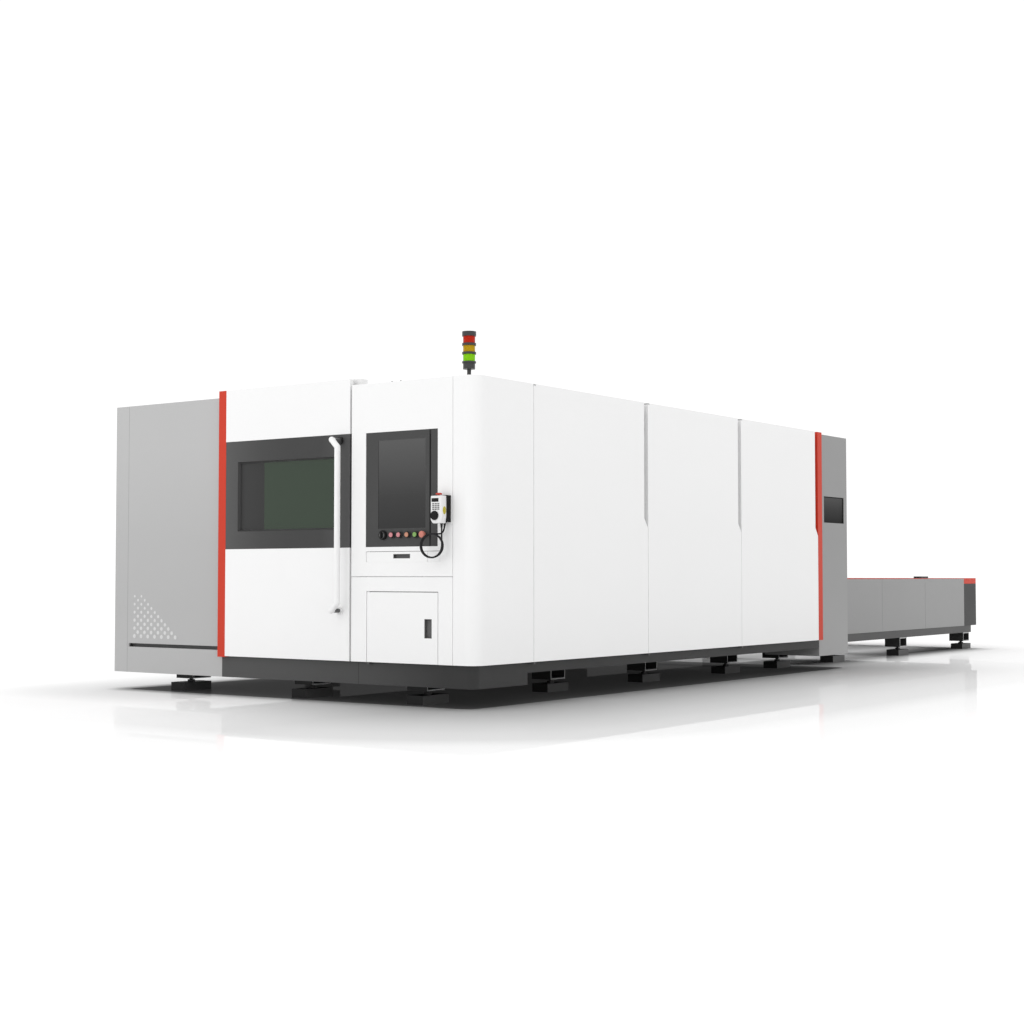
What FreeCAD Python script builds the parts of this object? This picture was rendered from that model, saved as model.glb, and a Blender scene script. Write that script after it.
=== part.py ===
import FreeCAD, Part
import math
import os
import re

import Sketcher

os.makedirs("parts", exist_ok=True)

# Frame: x to the right, y to the back, z up, origin on the floor below the middle of the bounding box.
# The operator stands in front (-y); the exchange table runs out of the back (+y).

# Driving sizes in millimetres: name, value, note.
SIZES = [
    ("machine_length", 11220, "front shell plane to the end of the exchange table"),
    ("handle_reach", 115, "door handle in front of the shell plane"),
    ("body_width", 3640, "outer width of the enclosure"),
    ("body_length", 6062, "front shell plane to the back of the rear cabinet"),
    ("body_height", 2250, "floor to the top of the shell"),
    ("shell_step", 40, "fixed shell thickness, and how far grey and dark parts stand back"),
    ("leaf", 36, "thickness of the moving leaves"),
    ("shell_bottom", 299, "floor to the lower edge of the white shell"),
    ("plinth_bottom", 140, "floor to the lower edge of plinth and grey section"),
    ("skirt_bottom", 223, "floor to the lower edge of the side skirts"),
    ("corner_radius", 100, "outer radius of the rounded front corner"),
    ("seam", 3, "width of a visible seam between fixed panels"),
    ("leaf_gap", 5, "gap around a hinged leaf"),
    ("seat", 0.3, "clearance where a moving part rests on or runs along another"),
    # console
    ("console_width", 1098, "right face to the left edge of the console"),
    ("console_split", 894, "height of the seam across the console"),
    ("corner_width", 191, "right face to the seam of the corner shell"),
    ("corner_length", 677, "corner shell along the side"),
    ("hmi_left", 965, "right face to the left edge of the operating panel"),
    ("hmi_right", 322, "right face to its right edge"),
    ("hmi_bottom", 1101, "height of its lower edge"),
    ("hmi_top", 1902, "height of its upper edge"),
    ("hmi_inset", 2, "operating panel behind the shell plane"),
    ("screen_left", 852, "right face to the left edge of the screen"),
    ("screen_right", 430, "right face to the right edge of the screen"),
    ("screen_bottom", 1228, "height of the screen's lower edge"),
    ("screen_top", 1844, "height of the screen's upper edge"),
    ("screen_depth", 8, "screen thickness"),
    ("groove_at", 390, "right face to the groove beside the screen"),
    ("groove_bottom", 1150, "height of the groove's lower end"),
    ("groove_top", 1867, "height of the groove's upper end"),
    ("groove_width", 4, "width and depth of the groove"),
    ("row_height", 1183, "height of the button row"),
    ("key_at", 804, "right face to the key switch axis"),
    ("key_radius", 33, "radius of the key switch"),
    ("key_proud", 22, "key switch body in front of the operating panel"),
    ("key_bar", 13, "bar on the key switch, width and height"),
    ("key_bar_half", 30, "half length of that bar"),
    ("button_one_at", 718, "right face to the first button axis"),
    ("button_two_at", 651, "right face to the second button axis"),
    ("button_three_at", 578, "right face to the third button axis"),
    ("button_four_at", 506, "right face to the fourth button axis"),
    ("button_radius", 17, "radius of a push button"),
    ("button_proud", 30, "push button in front of the operating panel"),
    ("button_travel", 5, "way a push button goes in"),
    ("button_depth", 20, "push button stem behind the face of the operating panel"),
    ("button_play", 0.5, "radial play of a stem in its bore"),
    ("collar_radius", 23, "outer radius of a button collar"),
    ("collar_proud", 16, "button collar in front of the operating panel"),
    ("stop_at", 440, "right face to the emergency stop axis"),
    ("stop_radius", 24, "radius of the emergency stop head"),
    ("stop_proud", 38, "emergency stop in front of the operating panel"),
    ("stop_stem", 13, "radius of the emergency stop stem"),
    ("stop_bevel", 6, "bevel round the emergency stop head"),
    ("drawer_left", 962, "right face to the left edge of the keyboard drawer"),
    ("drawer_right", 301, "right face to the right edge of the fixed cover beside it"),
    ("drawer_end", 410, "right face to the joint between drawer and cover, clear of the cable coil"),
    ("drawer_bottom", 996, "height of its lower edge"),
    ("drawer_top", 1070, "height of its upper edge"),
    ("drawer_depth", 390, "drawer tray behind its front"),
    ("drawer_wall", 6, "drawer tray wall"),
    ("drawer_play", 3, "gap at the sides of the drawer"),
    ("pull_left", 714, "right face to the left end of the drawer's grip"),
    ("pull_right", 564, "right face to its right end"),
    ("pull_bottom", 1020, "height of its lower edge"),
    ("pull_top", 1051, "height of its upper edge"),
    ("grip_depth", 24, "depth of a recessed grip"),
    ("grip_wall", 4, "wall of a recessed grip"),
    ("box_wall", 10, "wall of the housings inside the console"),
    ("cabinet_left", 956, "right face to the left edge of the lower door opening"),
    ("cabinet_right", 316, "right face to its right edge"),
    ("cabinet_top", 792, "height of the lower door opening"),
    ("cabinet_depth", 460, "depth of the cabinet behind the lower door"),
    ("latch_left", 436, "right face to the left edge of the lower door's grip"),
    ("latch_right", 372, "right face to its right edge"),
    ("latch_bottom", 475, "height of its lower edge"),
    ("latch_top", 606, "height of its upper edge"),
    # hand pendant
    ("pendant_left", 318, "right face to the left side of the hand pendant"),
    ("pendant_right", 212, "right face to its right side"),
    ("pendant_bottom", 1252, "height of its lower end"),
    ("pendant_top", 1439, "height of its upper end"),
    ("pendant_back", 40, "pendant's back in front of the shell plane"),
    ("pendant_thick", 55, "thickness of the pendant"),
    ("pendant_round", 12, "radius of the pendant's upright edges"),
    ("wheel_at", 271, "right face to the handwheel axis"),
    ("wheel_height", 1305, "height of the handwheel axis"),
    ("wheel_radius", 31, "radius of the handwheel"),
    ("wheel_thick", 12, "thickness of the handwheel"),
    ("wheel_shaft", 6, "radius of its shaft"),
    ("knob_out", 18.5, "handwheel axis to its knob"),
    ("knob_proud", 4, "knob in front of the handwheel"),
    ("shaft_depth", 18, "length of the shaft inside the pendant"),
    ("shaft_play", 0.4, "radial play of the shaft"),
    ("display_bottom", 1382, "height of the pendant display's lower edge"),
    ("display_top", 1412, "height of its upper edge"),
    ("display_margin", 14, "display edge from the pendant's sides"),
    ("pendant_stop_at", 259, "right face to the pendant stop axis"),
    ("pendant_stop_radius", 22, "radius of the pendant stop head"),
    ("pendant_stop_high", 19, "pendant stop above the pendant"),
    ("side_button_height", 1340, "height of the enabling button"),
    ("side_button_radius", 11, "radius of the enabling button"),
    ("side_button_proud", 7, "enabling button beside the pendant"),
    ("side_button_travel", 3, "way the enabling button goes in"),
    ("holder_edge", 4, "holder seen beyond the pendant's right side"),
    ("cord_radius", 5.5, "radius of the pendant cable"),
    ("cord_at", 235, "right face to the cable under the pendant"),
    ("cord_out", 68, "cable axis in front of the shell plane"),
    ("coil_height", 1103, "height of the middle of the cable coil"),
    ("coil_radius", 79.5, "middle radius of the coil"),
    ("coil_pitch", 12.5, "step from turn to turn"),
    ("coil_turn", 15, "degrees that the coil faces to the right"),
    ("coil_quarters", 11, "quarter turns in the coil"),
    ("cord_straight", 12, "straight end of the coiled length"),
    ("tail_run", 76, "cable from the coil to its last bend"),
    ("holder_rise", 10, "holder's lower end above the pendant's"),
    # sliding door
    ("door_left", 2356, "right face to the left edge of the white door leaf"),
    ("door_right", 1116, "right face to its right edge"),
    ("door_top", 2296, "height of door and front red strip"),
    ("strip_width", 78, "width of the red strip on the door"),
    ("strip_bottom", 292, "height of the strip's lower end"),
    ("band_bottom", 1099, "height of the dark band's lower edge"),
    ("band_top", 1906, "height of its upper edge"),
    ("band_depth", 30, "depth of the dark band in the leaf"),
    ("window_left", 2230, "right face to the left edge of the window"),
    ("window_right", 1217, "right face to its right edge"),
    ("window_bottom", 1231, "height of its lower edge"),
    ("window_top", 1750, "height of its upper edge"),
    ("frit_right", 1977, "right face to the edge between opaque part and green glass"),
    ("window_lip", 10, "width of the glass seat"),
    ("glass", 6, "thickness of window glass"),
    ("handle_at", 1150, "right face to the handle axis"),
    ("handle_radius", 21.5, "radius of the handle tube"),
    ("handle_low", 708, "height of the lower elbow"),
    ("handle_high", 1808, "height of the upper elbow"),
    ("handle_end", 54, "sideways and upright run of each slanting end"),
    ("post_radius", 15, "radius of the handle's standoffs"),
    ("rose_radius", 27, "radius of the collar behind a standoff"),
    ("rose_thick", 14, "thickness of that collar"),
    ("rail_front", 60, "shell plane to the door rail"),
    ("rail_wide", 20, "width of the door rail"),
    ("rail_left", 3440, "right face to the left end of the door rail"),
    ("rail_right", 1130, "right face to its right end"),
    ("hanger_wide", 100, "width of a door hanger"),
    ("hanger_inset", 130, "door edge to a hanger"),
    ("hanger_top", 2285, "height of a hanger's upper face"),
    ("hanger_lip", 16, "thickness of the lip behind the rail"),
    ("shoe_wide", 20, "width of the guide shoe on the door"),
    ("shoe_play", 4, "play of the shoe in the slot"),
    ("shoe_reach", 36, "length of the guide shoe"),
    ("stop_left", 1175, "right face to the left side of the door stop"),
    ("stop_right", 1082, "right face to its right side"),
    ("stop_top", 2303, "height of the door stop"),
    ("stop_depth", 70, "depth of the door stop"),
    ("bolt_one_at", 778, "right face to the first roof bolt"),
    ("bolt_two_at", 699, "right face to the second roof bolt"),
    ("bolt_radius", 6, "radius of a roof bolt"),
    ("bolt_top", 2262, "height of a roof bolt"),
    # grey front section
    ("grey_edge", 2370, "right face to the hidden right edge of the grey panel"),
    ("jamb_lap", 12, "grey panel over the left door jamb"),
    ("fascia_edge", 2424, "right face to the joint between grey fascia and plinth"),
    ("post_width", 165, "left face to the seam of the corner post"),
    ("grey_plate", 18, "thickness of the grey front plates"),
    ("slot_bottom", 340, "height of the slot's lower edge"),
    ("slot_top", 368, "height of the slot's upper edge"),
    ("channel_wall", 4, "back wall of the guide channel"),
    ("channel_flange", 20, "height of its flanges"),
    ("post_return", 100, "shell plane to the back edge of the corner post"),
    # frame and roof
    ("roof_plate", 12, "roof thickness and height of the door rail"),
    ("tube", 60, "width of the square frame tubes"),
    ("rear_of_front_rail", 200, "shell plane to the back of the front cross rail"),
    ("seam_plate", 10, "plates behind the side seams"),
    ("seam_plate_wide", 90, "width of those plates in front of a seam"),
    # sides
    ("side_pitch", 1555, "length of the first and of the second side door"),
    ("side_end", 5321, "shell plane to the front edge of the rear red strip"),
    ("rear_start", 5413, "shell plane to the rear cabinet"),
    ("grip_width", 54, "width of the grip notch at a side door's rear edge"),
    ("grip_bottom", 1272, "height of the notch's lower end"),
    ("grip_slope", 75, "height of the notch's slanting end"),
    ("plinth_length", 656, "plinth along the right side"),
    ("lug_length", 18, "length of a hinge lug"),
    ("lug_offset", 1, "door opening edge to a hinge lug"),
    ("lug_height", 15, "height of a lower hinge lug"),
    ("lug_notch", 27, "length of the cut above a door's hinge edge"),
    ("pin_inset", 8, "hinge axis behind the door's outer face and edge"),
    ("pin_radius", 5, "radius of a hinge pin"),
    ("pin_play", 0.5, "radial play of a hinge pin"),
    ("pin_length", 20, "length of a hinge pin"),
    # rear cabinet and gate
    ("cabinet_base", 145, "floor to the lower edge of the rear cabinet"),
    ("cabinet_height", 2240, "floor to the top of the rear cabinet"),
    ("rear_window_front", 5540, "shell plane to the front edge of the rear window"),
    ("rear_window_back", 5992, "shell plane to its back edge"),
    ("rear_window_bottom", 1405, "height of its lower edge"),
    ("rear_window_top", 1655, "height of its upper edge"),
    ("rear_window_recess", 15, "depth of the rear window recess"),
    ("header_bottom", 1100, "height of the pallet opening at the back"),
    ("gate_front", 5700, "shell plane to the lift gate"),
    ("gate_thick", 20, "thickness of the lift gate"),
    ("gate_inset", 252.5, "gate's edge from the pillar beside it"),
    ("gate_bottom", 1130, "height of the raised gate's lower edge"),
    ("gate_high", 560, "height of the gate plate"),
    ("gate_arm", 60, "width of the gate's arms"),
    ("gate_arm_top", 2190, "height of the arms on the raised gate"),
    ("guide_lap", 15, "guide over the gate's edge"),
    ("guide_wide", 45, "width of a gate guide"),
    ("guide_lead", 20, "guide in front of the gate"),
    # bed, feet and exchange table
    ("bed_centre", -52.5, "x of the middle of the bed and table"),
    ("bed_half", 1267.5, "half width over beams and rails"),
    ("bed_bottom", 200, "height of the lower faces of the beams"),
    ("bed_top", 560, "height of the upper faces of the beams"),
    ("bed_nose", 150, "shell plane to the low nose of the bed under the console"),
    ("bed_front", 560, "shell plane to the front of the tall beams"),
    ("bed_back", 5960, "shell plane to the back of the beams"),
    ("beam_width", 170, "width of a side beam"),
    ("cross_high", 84, "height of cross members and table rails"),
    ("foot_one", 190, "shell plane to the first foot"),
    ("foot_two", 1719, "shell plane to the second foot"),
    ("foot_three", 3135, "shell plane to the third foot"),
    ("foot_four", 4599, "shell plane to the fourth foot"),
    ("foot_five", 5658, "shell plane to the fifth foot"),
    ("foot_six", 6951, "shell plane to the sixth foot"),
    ("foot_seven", 8705, "shell plane to the seventh foot"),
    ("last_foot", 499, "front of the last foot to the end of the table"),
    ("middle_foot_at", 1847.5, "right face to the left side of the middle foot"),
    ("pad_width", 145, "width of a foot pad"),
    ("pad_length", 290, "length of a foot pad"),
    ("pad_thick", 65, "height of a foot pad"),
    ("pad_lead", 5, "pad outside the beam's outer face"),
    ("screw_radius", 16, "radius of a levelling screw"),
    ("nut_radius", 30, "corner radius of a levelling nut"),
    ("nut_high", 16, "height of a levelling nut"),
    ("stub_lead", 50, "front of a pad to its bracket"),
    ("stub_width", 178, "width of a foot bracket"),
    ("stub_length", 200, "length of a foot bracket"),
    ("stub_bottom", 95, "height of a foot bracket's lower face"),
    ("stub_wall", 10, "wall of a foot bracket"),
    ("bearer_bottom", 223, "height of the bearers' lower faces"),
    ("rail_short", 176, "end of the table rails to the end of the table"),
    ("rail_thick", 80, "width of a table rail"),
    ("panel_thick", 20, "thickness of the table's side panels"),
    ("panel_lead", 5, "table side panels outside the rails"),
    ("table_seam_one", 6990, "shell plane to the first table seam"),
    ("table_seam_two", 8256, "shell plane to the second table seam"),
    ("table_seam_three", 9522, "shell plane to the third table seam"),
    ("cover_length", 420, "length of the end cover"),
    ("table_top", 870, "height of the table"),
    ("trim_high", 6, "height of the red trim"),
    ("deck_thick", 12, "thickness of the table's top plates"),
    ("deck_width", 150, "width of the table's top plates"),
    ("cap_bottom", 802, "height of the red cap's lower edge"),
    ("drive_front", 9450, "shell plane to the flat box on the table"),
    ("drive_back", 9671, "shell plane to its back"),
    ("drive_high", 22, "height of the flat box"),
    ("drive_wide", 90, "width of the flat box"),
    # pallets and their tracks
    ("track_wall", 20, "thickness of a track wall"),
    ("track_top", 800, "height of the track walls"),
    ("track_front", 650, "shell plane to the start of the tracks"),
    ("track_gap", 10, "end of the tracks to the end cover"),
    ("ledge_wide", 37, "width of a track ledge"),
    ("ledge_thick", 20, "thickness of a track ledge"),
    ("lower_ledge", 612, "height of the lower ledges"),
    ("upper_ledge", 792, "height of the upper ledges"),
    ("pallet_play", 17.5, "pallet to a track wall"),
    ("pallet_length", 4100, "length of a pallet"),
    ("pallet_high", 60, "height of a pallet frame"),
    ("pallet_bar", 60, "width of a pallet's bars"),
    ("pallet_gap", 50, "upper pallet to the end cover"),
    ("lower_start", 1570, "shell plane to the lower pallet"),
    ("slat_count", 24, "slats in a pallet"),
    ("slat_thick", 4, "thickness of a slat"),
    ("slat_play", 0.3, "play of a slat at each side of its slot"),
    ("slat_bottom", 5, "slat above the pallet's lower face"),
    ("slat_end", 30, "depth of a slat's end in the side bar"),
    ("slat_shoulder", 52, "height of the valley between teeth over the pallet's lower face"),
    ("slat_tip", 74, "height of the tooth tips over the pallet's lower face"),
    ("slat_teeth", 12, "teeth along a slat"),
    # gantry
    ("gantry_rail_wide", 60, "width of a gantry rail"),
    ("gantry_rail_high", 30, "height of a gantry rail"),
    ("gantry_rail_front", 700, "shell plane to the start of the gantry rails"),
    ("gantry_rail_back", 5400, "shell plane to their end"),
    ("gantry_at", 1300, "shell plane to the middle of the gantry"),
    ("truck_wide", 140, "width of a gantry upright"),
    ("truck_length", 380, "length of a gantry upright"),
    ("bridge_bottom", 1010, "height of the bridge's lower face"),
    ("bridge_top", 1270, "height of its upper face"),
    ("bridge_length", 300, "depth of the bridge"),
    ("carriage_wide", 300, "width of the carriage"),
    ("carriage_plate", 40, "thickness of the carriage plate"),
    ("carriage_bottom", 980, "height of its lower edge"),
    ("carriage_lap", 100, "carriage over the bridge's top"),
    ("head_wide", 120, "width and depth of the cutting head"),
    ("head_bottom", 1030, "height of its lower face"),
    ("head_top", 1290, "height of its upper face"),
    ("nozzle_tip", 955, "height of the nozzle tip"),
    ("nozzle_radius", 38, "upper radius of the nozzle"),
    ("nozzle_end", 6, "tip radius of the nozzle"),
    # signal tower
    ("tower_at", 170, "right face to the tower axis"),
    ("tower_back", 150, "shell plane to the tower axis"),
    ("tower_pole", 14, "radius of the pole"),
    ("tower_radius", 41.5, "radius of base and lenses"),
    ("tower_ring", 48.5, "radius of the rings"),
    ("tower_base", 2309, "height of the base"),
    ("tower_ring_one", 2350, "height of the ring on the base"),
    ("tower_green", 2362, "height of the green lens"),
    ("tower_ring_two", 2411, "height of the second ring"),
    ("tower_amber", 2426, "height of the amber lens"),
    ("tower_ring_three", 2471, "height of the third ring"),
    ("tower_red", 2487, "height of the red lens"),
    ("tower_cap", 2535, "height of the cap"),
    ("tower_top", 2567, "top of the machine"),
]

BODY_FEET = ["foot_one", "foot_two", "foot_three", "foot_four", "foot_five"]
TABLE_FEET = ["foot_six", "foot_seven", "machine_length - last_foot"]
FEET = BODY_FEET + TABLE_FEET

doc = FreeCAD.newDocument("laser_cutting_machine")
sheet = doc.addObject("Spreadsheet::Sheet", "sizes")
nodes = {}


def fill_sheet():
    """Write every driving size into its own named cell."""
    for row, (name, number, note) in enumerate(SIZES, start=1):
        sheet.set(f"A{row}", name)
        sheet.set(f"B{row}", str(number))
        sheet.set(f"C{row}", note)
        sheet.setAlias(f"B{row}", name)
    doc.recompute()


NAMES = {name for name, number, note in SIZES}


def formula(text):
    """Turn plain size names in a text into references to the sheet."""
    def refer(word):
        return "sizes." + word.group() if word.group() in NAMES else word.group()

    return re.sub(r"[a-z_]+", refer, text)


def value(text):
    """The number that a formula gives with the sizes in the sheet."""
    return float(sheet.evalExpression(formula(text)))


def bind(part, prop, text):
    part.setExpression(prop, formula(text))


# Places, measured the way the machine is measured.
RIGHT_FACE = "body_width / 2"
LEFT_FACE = "-body_width / 2"
FRONT_PLANE = "(handle_reach - machine_length) / 2"


def right(distance):
    """x at a distance left of the outer right face."""
    return f"({RIGHT_FACE} - ({distance}))"


def left(distance):
    """x at a distance right of the outer left face."""
    return f"({LEFT_FACE} + ({distance}))"


def back(distance):
    """y at a distance behind the front shell plane."""
    return f"({FRONT_PLANE} + ({distance}))"


def bed(distance):
    """x at a distance from the middle of bed and table."""
    return f"(bed_centre + ({distance}))"


def place(part, x, y, z):
    bind(part, "Placement.Base.x", x)
    bind(part, "Placement.Base.y", y)
    bind(part, "Placement.Base.z", z)


def box(name, x, y, z):
    """A block between two places along each axis."""
    part = doc.addObject("Part::Box", name)
    for prop, (low, high) in zip(("Length", "Width", "Height"), (x, y, z)):
        bind(part, prop, f"({high}) - ({low})")
    place(part, x[0], y[0], z[0])
    return part


TURNS = {
    "x": FreeCAD.Rotation(FreeCAD.Vector(0, 1, 0), 90),
    "y": FreeCAD.Rotation(FreeCAD.Vector(1, 0, 0), -90),
    "z": FreeCAD.Rotation(),
}


def round_bar(name, axis, radius, x, y, z, length):
    """A cylinder from a place along +x, +y or +z."""
    part = doc.addObject("Part::Cylinder", name)
    bind(part, "Radius", radius)
    bind(part, "Height", length)
    part.Placement = FreeCAD.Placement(FreeCAD.Vector(), TURNS[axis])
    place(part, x, y, z)
    return part


def cut(name, base, tool):
    part = doc.addObject("Part::Cut", name)
    part.Base = base
    part.Tool = tool
    return part


def joined(name, parts):
    part = doc.addObject("Part::MultiFuse", name)
    part.Shapes = parts
    part.Refine = True
    return part


def group(name, parts):
    """Separate solids that are one sub-part."""
    part = doc.addObject("Part::Compound", name)
    part.Links = parts
    return part


def prism(name, plane, points, start, length, rounds=()):
    """A profile in the XY, XZ or YZ plane, padded along the plane's axis from a start place.

    rounds lists (index of a point, radius) for the edges to be rounded.
    """
    body = doc.addObject("PartDesign::Body", name)
    sketch = body.newObject("Sketcher::SketchObject", name + "_profile")
    origin_plane = [item for item in body.Origin.OriginFeatures if item.Role == plane + "_Plane"][0]
    sketch.AttachmentSupport = (origin_plane, [""])
    sketch.MapMode = "FlatFace"
    corners = [FreeCAD.Vector(value(across), value(up), 0) for across, up in points]
    count = len(corners)
    for index in range(count):
        sketch.addGeometry(Part.LineSegment(corners[index], corners[(index + 1) % count]))
    for index in range(count):
        sketch.addConstraint(Sketcher.Constraint("Coincident", index, 2, (index + 1) % count, 1))
    for index, (across, up) in enumerate(points):
        for kind, text in (("DistanceX", across), ("DistanceY", up)):
            number = sketch.addConstraint(Sketcher.Constraint(kind, -1, 1, index, 1, value(text)))
            sketch.setExpression(f"Constraints[{number}]", formula(text))
    pad = body.newObject("PartDesign::Pad", name + "_pad")
    pad.Profile = sketch
    pad.Reversed = plane == "XZ"
    bind(pad, "Length", length)
    bind(body, "Placement.Base." + {"XY": "z", "XZ": "y", "YZ": "x"}[plane], start)
    for index, radius in rounds:
        doc.recompute()
        round_edge(body, name, index, corners[index], plane, radius)
    return body


def round_edge(body, name, index, corner, plane, radius):
    """Round the edge that the pad draws from one corner of the profile."""
    base = body.Tip
    for number, edge in enumerate(base.Shape.Edges, start=1):
        places = [vertex.Point for vertex in edge.Vertexes]
        flat = {"XY": [(p.x, p.y) for p in places], "XZ": [(p.x, p.z) for p in places],
                "YZ": [(p.y, p.z) for p in places]}[plane]
        if all(math.hypot(a - corner.x, b - corner.y) < 0.01 for a, b in flat):
            fillet = body.newObject("PartDesign::Fillet", f"{name}_round_{index}")
            fillet.Base = (base, [f"Edge{number}"])
            bind(fillet, "Radius", radius)
            return


def keep(node, parts):
    """Add one finished part, or a list of separate ones, to a sub-part."""
    nodes.setdefault(node, []).extend(parts if isinstance(parts, list) else [parts])


def both_sides(name, inner, outer, y, z):
    """Two like blocks, left and right of the middle of the bed."""
    return [
        box(name + "_right", (bed(inner), bed(outer)), y, z),
        box(name + "_left", (bed(f"-({outer})"), bed(f"-({inner})")), y, z),
    ]


BEAM_INNER = "bed_half - beam_width"
CROSS_TOP = "bed_bottom + cross_high"
PAD_OUTER = "bed_half + pad_lead"
TRACK_INNER = f"{BEAM_INNER} - track_wall"
PALLET_HALF = f"{TRACK_INNER} - pallet_play"
GANTRY_RAIL_HALF = "bed_half - beam_width / 2"
GATE_HALF = "bed_half - gate_inset"
COVER_START = "machine_length - cover_length"


def foot(name, x_low, y_front):
    """A levelling foot: pad, screw and nut in one piece."""
    middle_x = f"{x_low} + pad_width / 2"
    middle_y = back(f"{y_front} + pad_length / 2")
    pad_y = (back(y_front), back(f"{y_front} + pad_length"))
    pad = box(name + "_pad", (x_low, f"{x_low} + pad_width"), pad_y, ("0", "pad_thick"))
    screw = round_bar(name + "_screw", "z", "screw_radius", middle_x, middle_y, "pad_thick",
                      "stub_bottom - pad_thick")
    nut = doc.addObject("Part::Prism", name + "_nut")
    nut.Polygon = 6
    bind(nut, "Circumradius", "nut_radius")
    bind(nut, "Height", "nut_high")
    place(nut, middle_x, middle_y, "pad_thick")
    return joined(name, [pad, screw, nut])


def stub(name, x_low, y_front):
    """A foot bracket: a square tube, open to both sides, between foot and beam."""
    y = (back(f"{y_front} + stub_lead"), back(f"{y_front} + stub_lead + stub_length"))
    hole_y = (f"{y[0]} + stub_wall", f"{y[1]} - stub_wall")
    outer = box(name + "_outer", (x_low, f"{x_low} + stub_width"), y, ("stub_bottom", "bed_bottom"))
    hole = box(name + "_hole", (f"{x_low} - stub_wall", f"{x_low} + stub_width + stub_wall"), hole_y,
               ("stub_bottom + stub_wall", "bed_bottom - stub_wall"))
    return cut(name, outer, hole)


def build_feet():
    feet = []
    stubs = []
    for index, front in enumerate(FEET):
        feet.append(foot(f"foot_right_{index}", bed(f"{PAD_OUTER} - pad_width"), front))
        feet.append(foot(f"foot_left_{index}", bed(f"-({PAD_OUTER})"), front))
        stubs.append(stub(f"stub_right_{index}", bed("bed_half - stub_width"), front))
        stubs.append(stub(f"stub_left_{index}", bed("-bed_half"), front))
    middle = right("middle_foot_at")
    feet.append(foot("foot_middle", middle, "foot_one"))
    stubs.append(stub("stub_middle", f"{middle} - (stub_width - pad_width) / 2", "foot_one"))
    keep("levelling_feet", feet)
    keep("foot_brackets", stubs)


def build_bed():
    y = (back("bed_front"), back("bed_back"))
    keep("bed_frame", both_sides("bed_beam", BEAM_INNER, "bed_half", y, ("bed_bottom", "bed_top")))
    y = (back("bed_nose"), back("bed_front"))
    keep("bed_frame", both_sides("bed_nose_bar", BEAM_INNER, "bed_half", y, ("bed_bottom", CROSS_TOP)))
    cross = []
    for index, front in enumerate(FEET):
        inner = BEAM_INNER if front in BODY_FEET else "bed_half - rail_thick"
        x = (bed(f"-({inner})"), bed(inner))
        y = (back(f"{front} + stub_lead"), back(f"{front} + stub_lead + stub_length"))
        cross.append(box(f"cross_member_{index}", x, y, ("bed_bottom", CROSS_TOP)))
    keep("bed_frame", cross)
    bearers = []
    z = ("bearer_bottom", "bearer_bottom + tube")
    for front in BODY_FEET[:4]:
        y = (back(f"{front} + stub_lead"), back(f"{front} + stub_lead + tube"))
        bearers.append(box("bearer_right_" + front, (bed("bed_half"), right("shell_step + tube")), y, z))
        bearers.append(box("bearer_left_" + front, (left("shell_step + tube"), bed("-bed_half")), y, z))
    y = (back("shell_step + tube"), back("foot_one + stub_lead"))
    for name, x in (("bearer_front_right", right("door_right")), ("bearer_front_left", right("door_left"))):
        bearers.append(box(name, (f"{x} - tube", x), y, z))
    y = (back("shell_step + grey_plate"), back("foot_one + stub_lead"))
    x = bed("-(bed_half - beam_width)")
    bearers.append(box("bearer_fascia", (x, f"{x} + tube"), y, z))
    keep("bed_frame", bearers)


def build_plinth():
    """Dark base below the console and the door, round the right corner, and the side skirts."""
    x_left = right("fascia_edge")
    x_right = right("shell_step")
    front = back("shell_step")
    points = [
        (x_left, front),
        (x_right, front),
        (x_right, back("plinth_length")),
        (f"{x_right} - tube", back("plinth_length")),
        (f"{x_right} - tube", f"{front} + tube"),
        (x_left, f"{front} + tube"),
    ]
    rounds = [(1, "corner_radius - shell_step")]
    height = "shell_bottom - plinth_bottom"
    keep("plinth", prism("plinth_front", "XY", points, "plinth_bottom", height, rounds))
    z = ("skirt_bottom", "shell_bottom")
    right_y = (back("plinth_length"), back("rear_start"))
    left_y = (back("post_return"), back("rear_start"))
    keep("plinth", box("skirt_right", (right("shell_step + tube"), x_right), right_y, z))
    keep("plinth", box("skirt_left", (left("shell_step"), left("shell_step + tube")), left_y, z))


POST_OUT = "shell_step + seam_plate"
RAIL_Z = ("body_height - 2 * roof_plate - tube", "body_height - 2 * roof_plate")
ROOF_Z = ("body_height - 2 * roof_plate", "body_height - roof_plate")
SEAMS = ["corner_length", "corner_length + side_pitch", "corner_length + 2 * side_pitch"]


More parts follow.
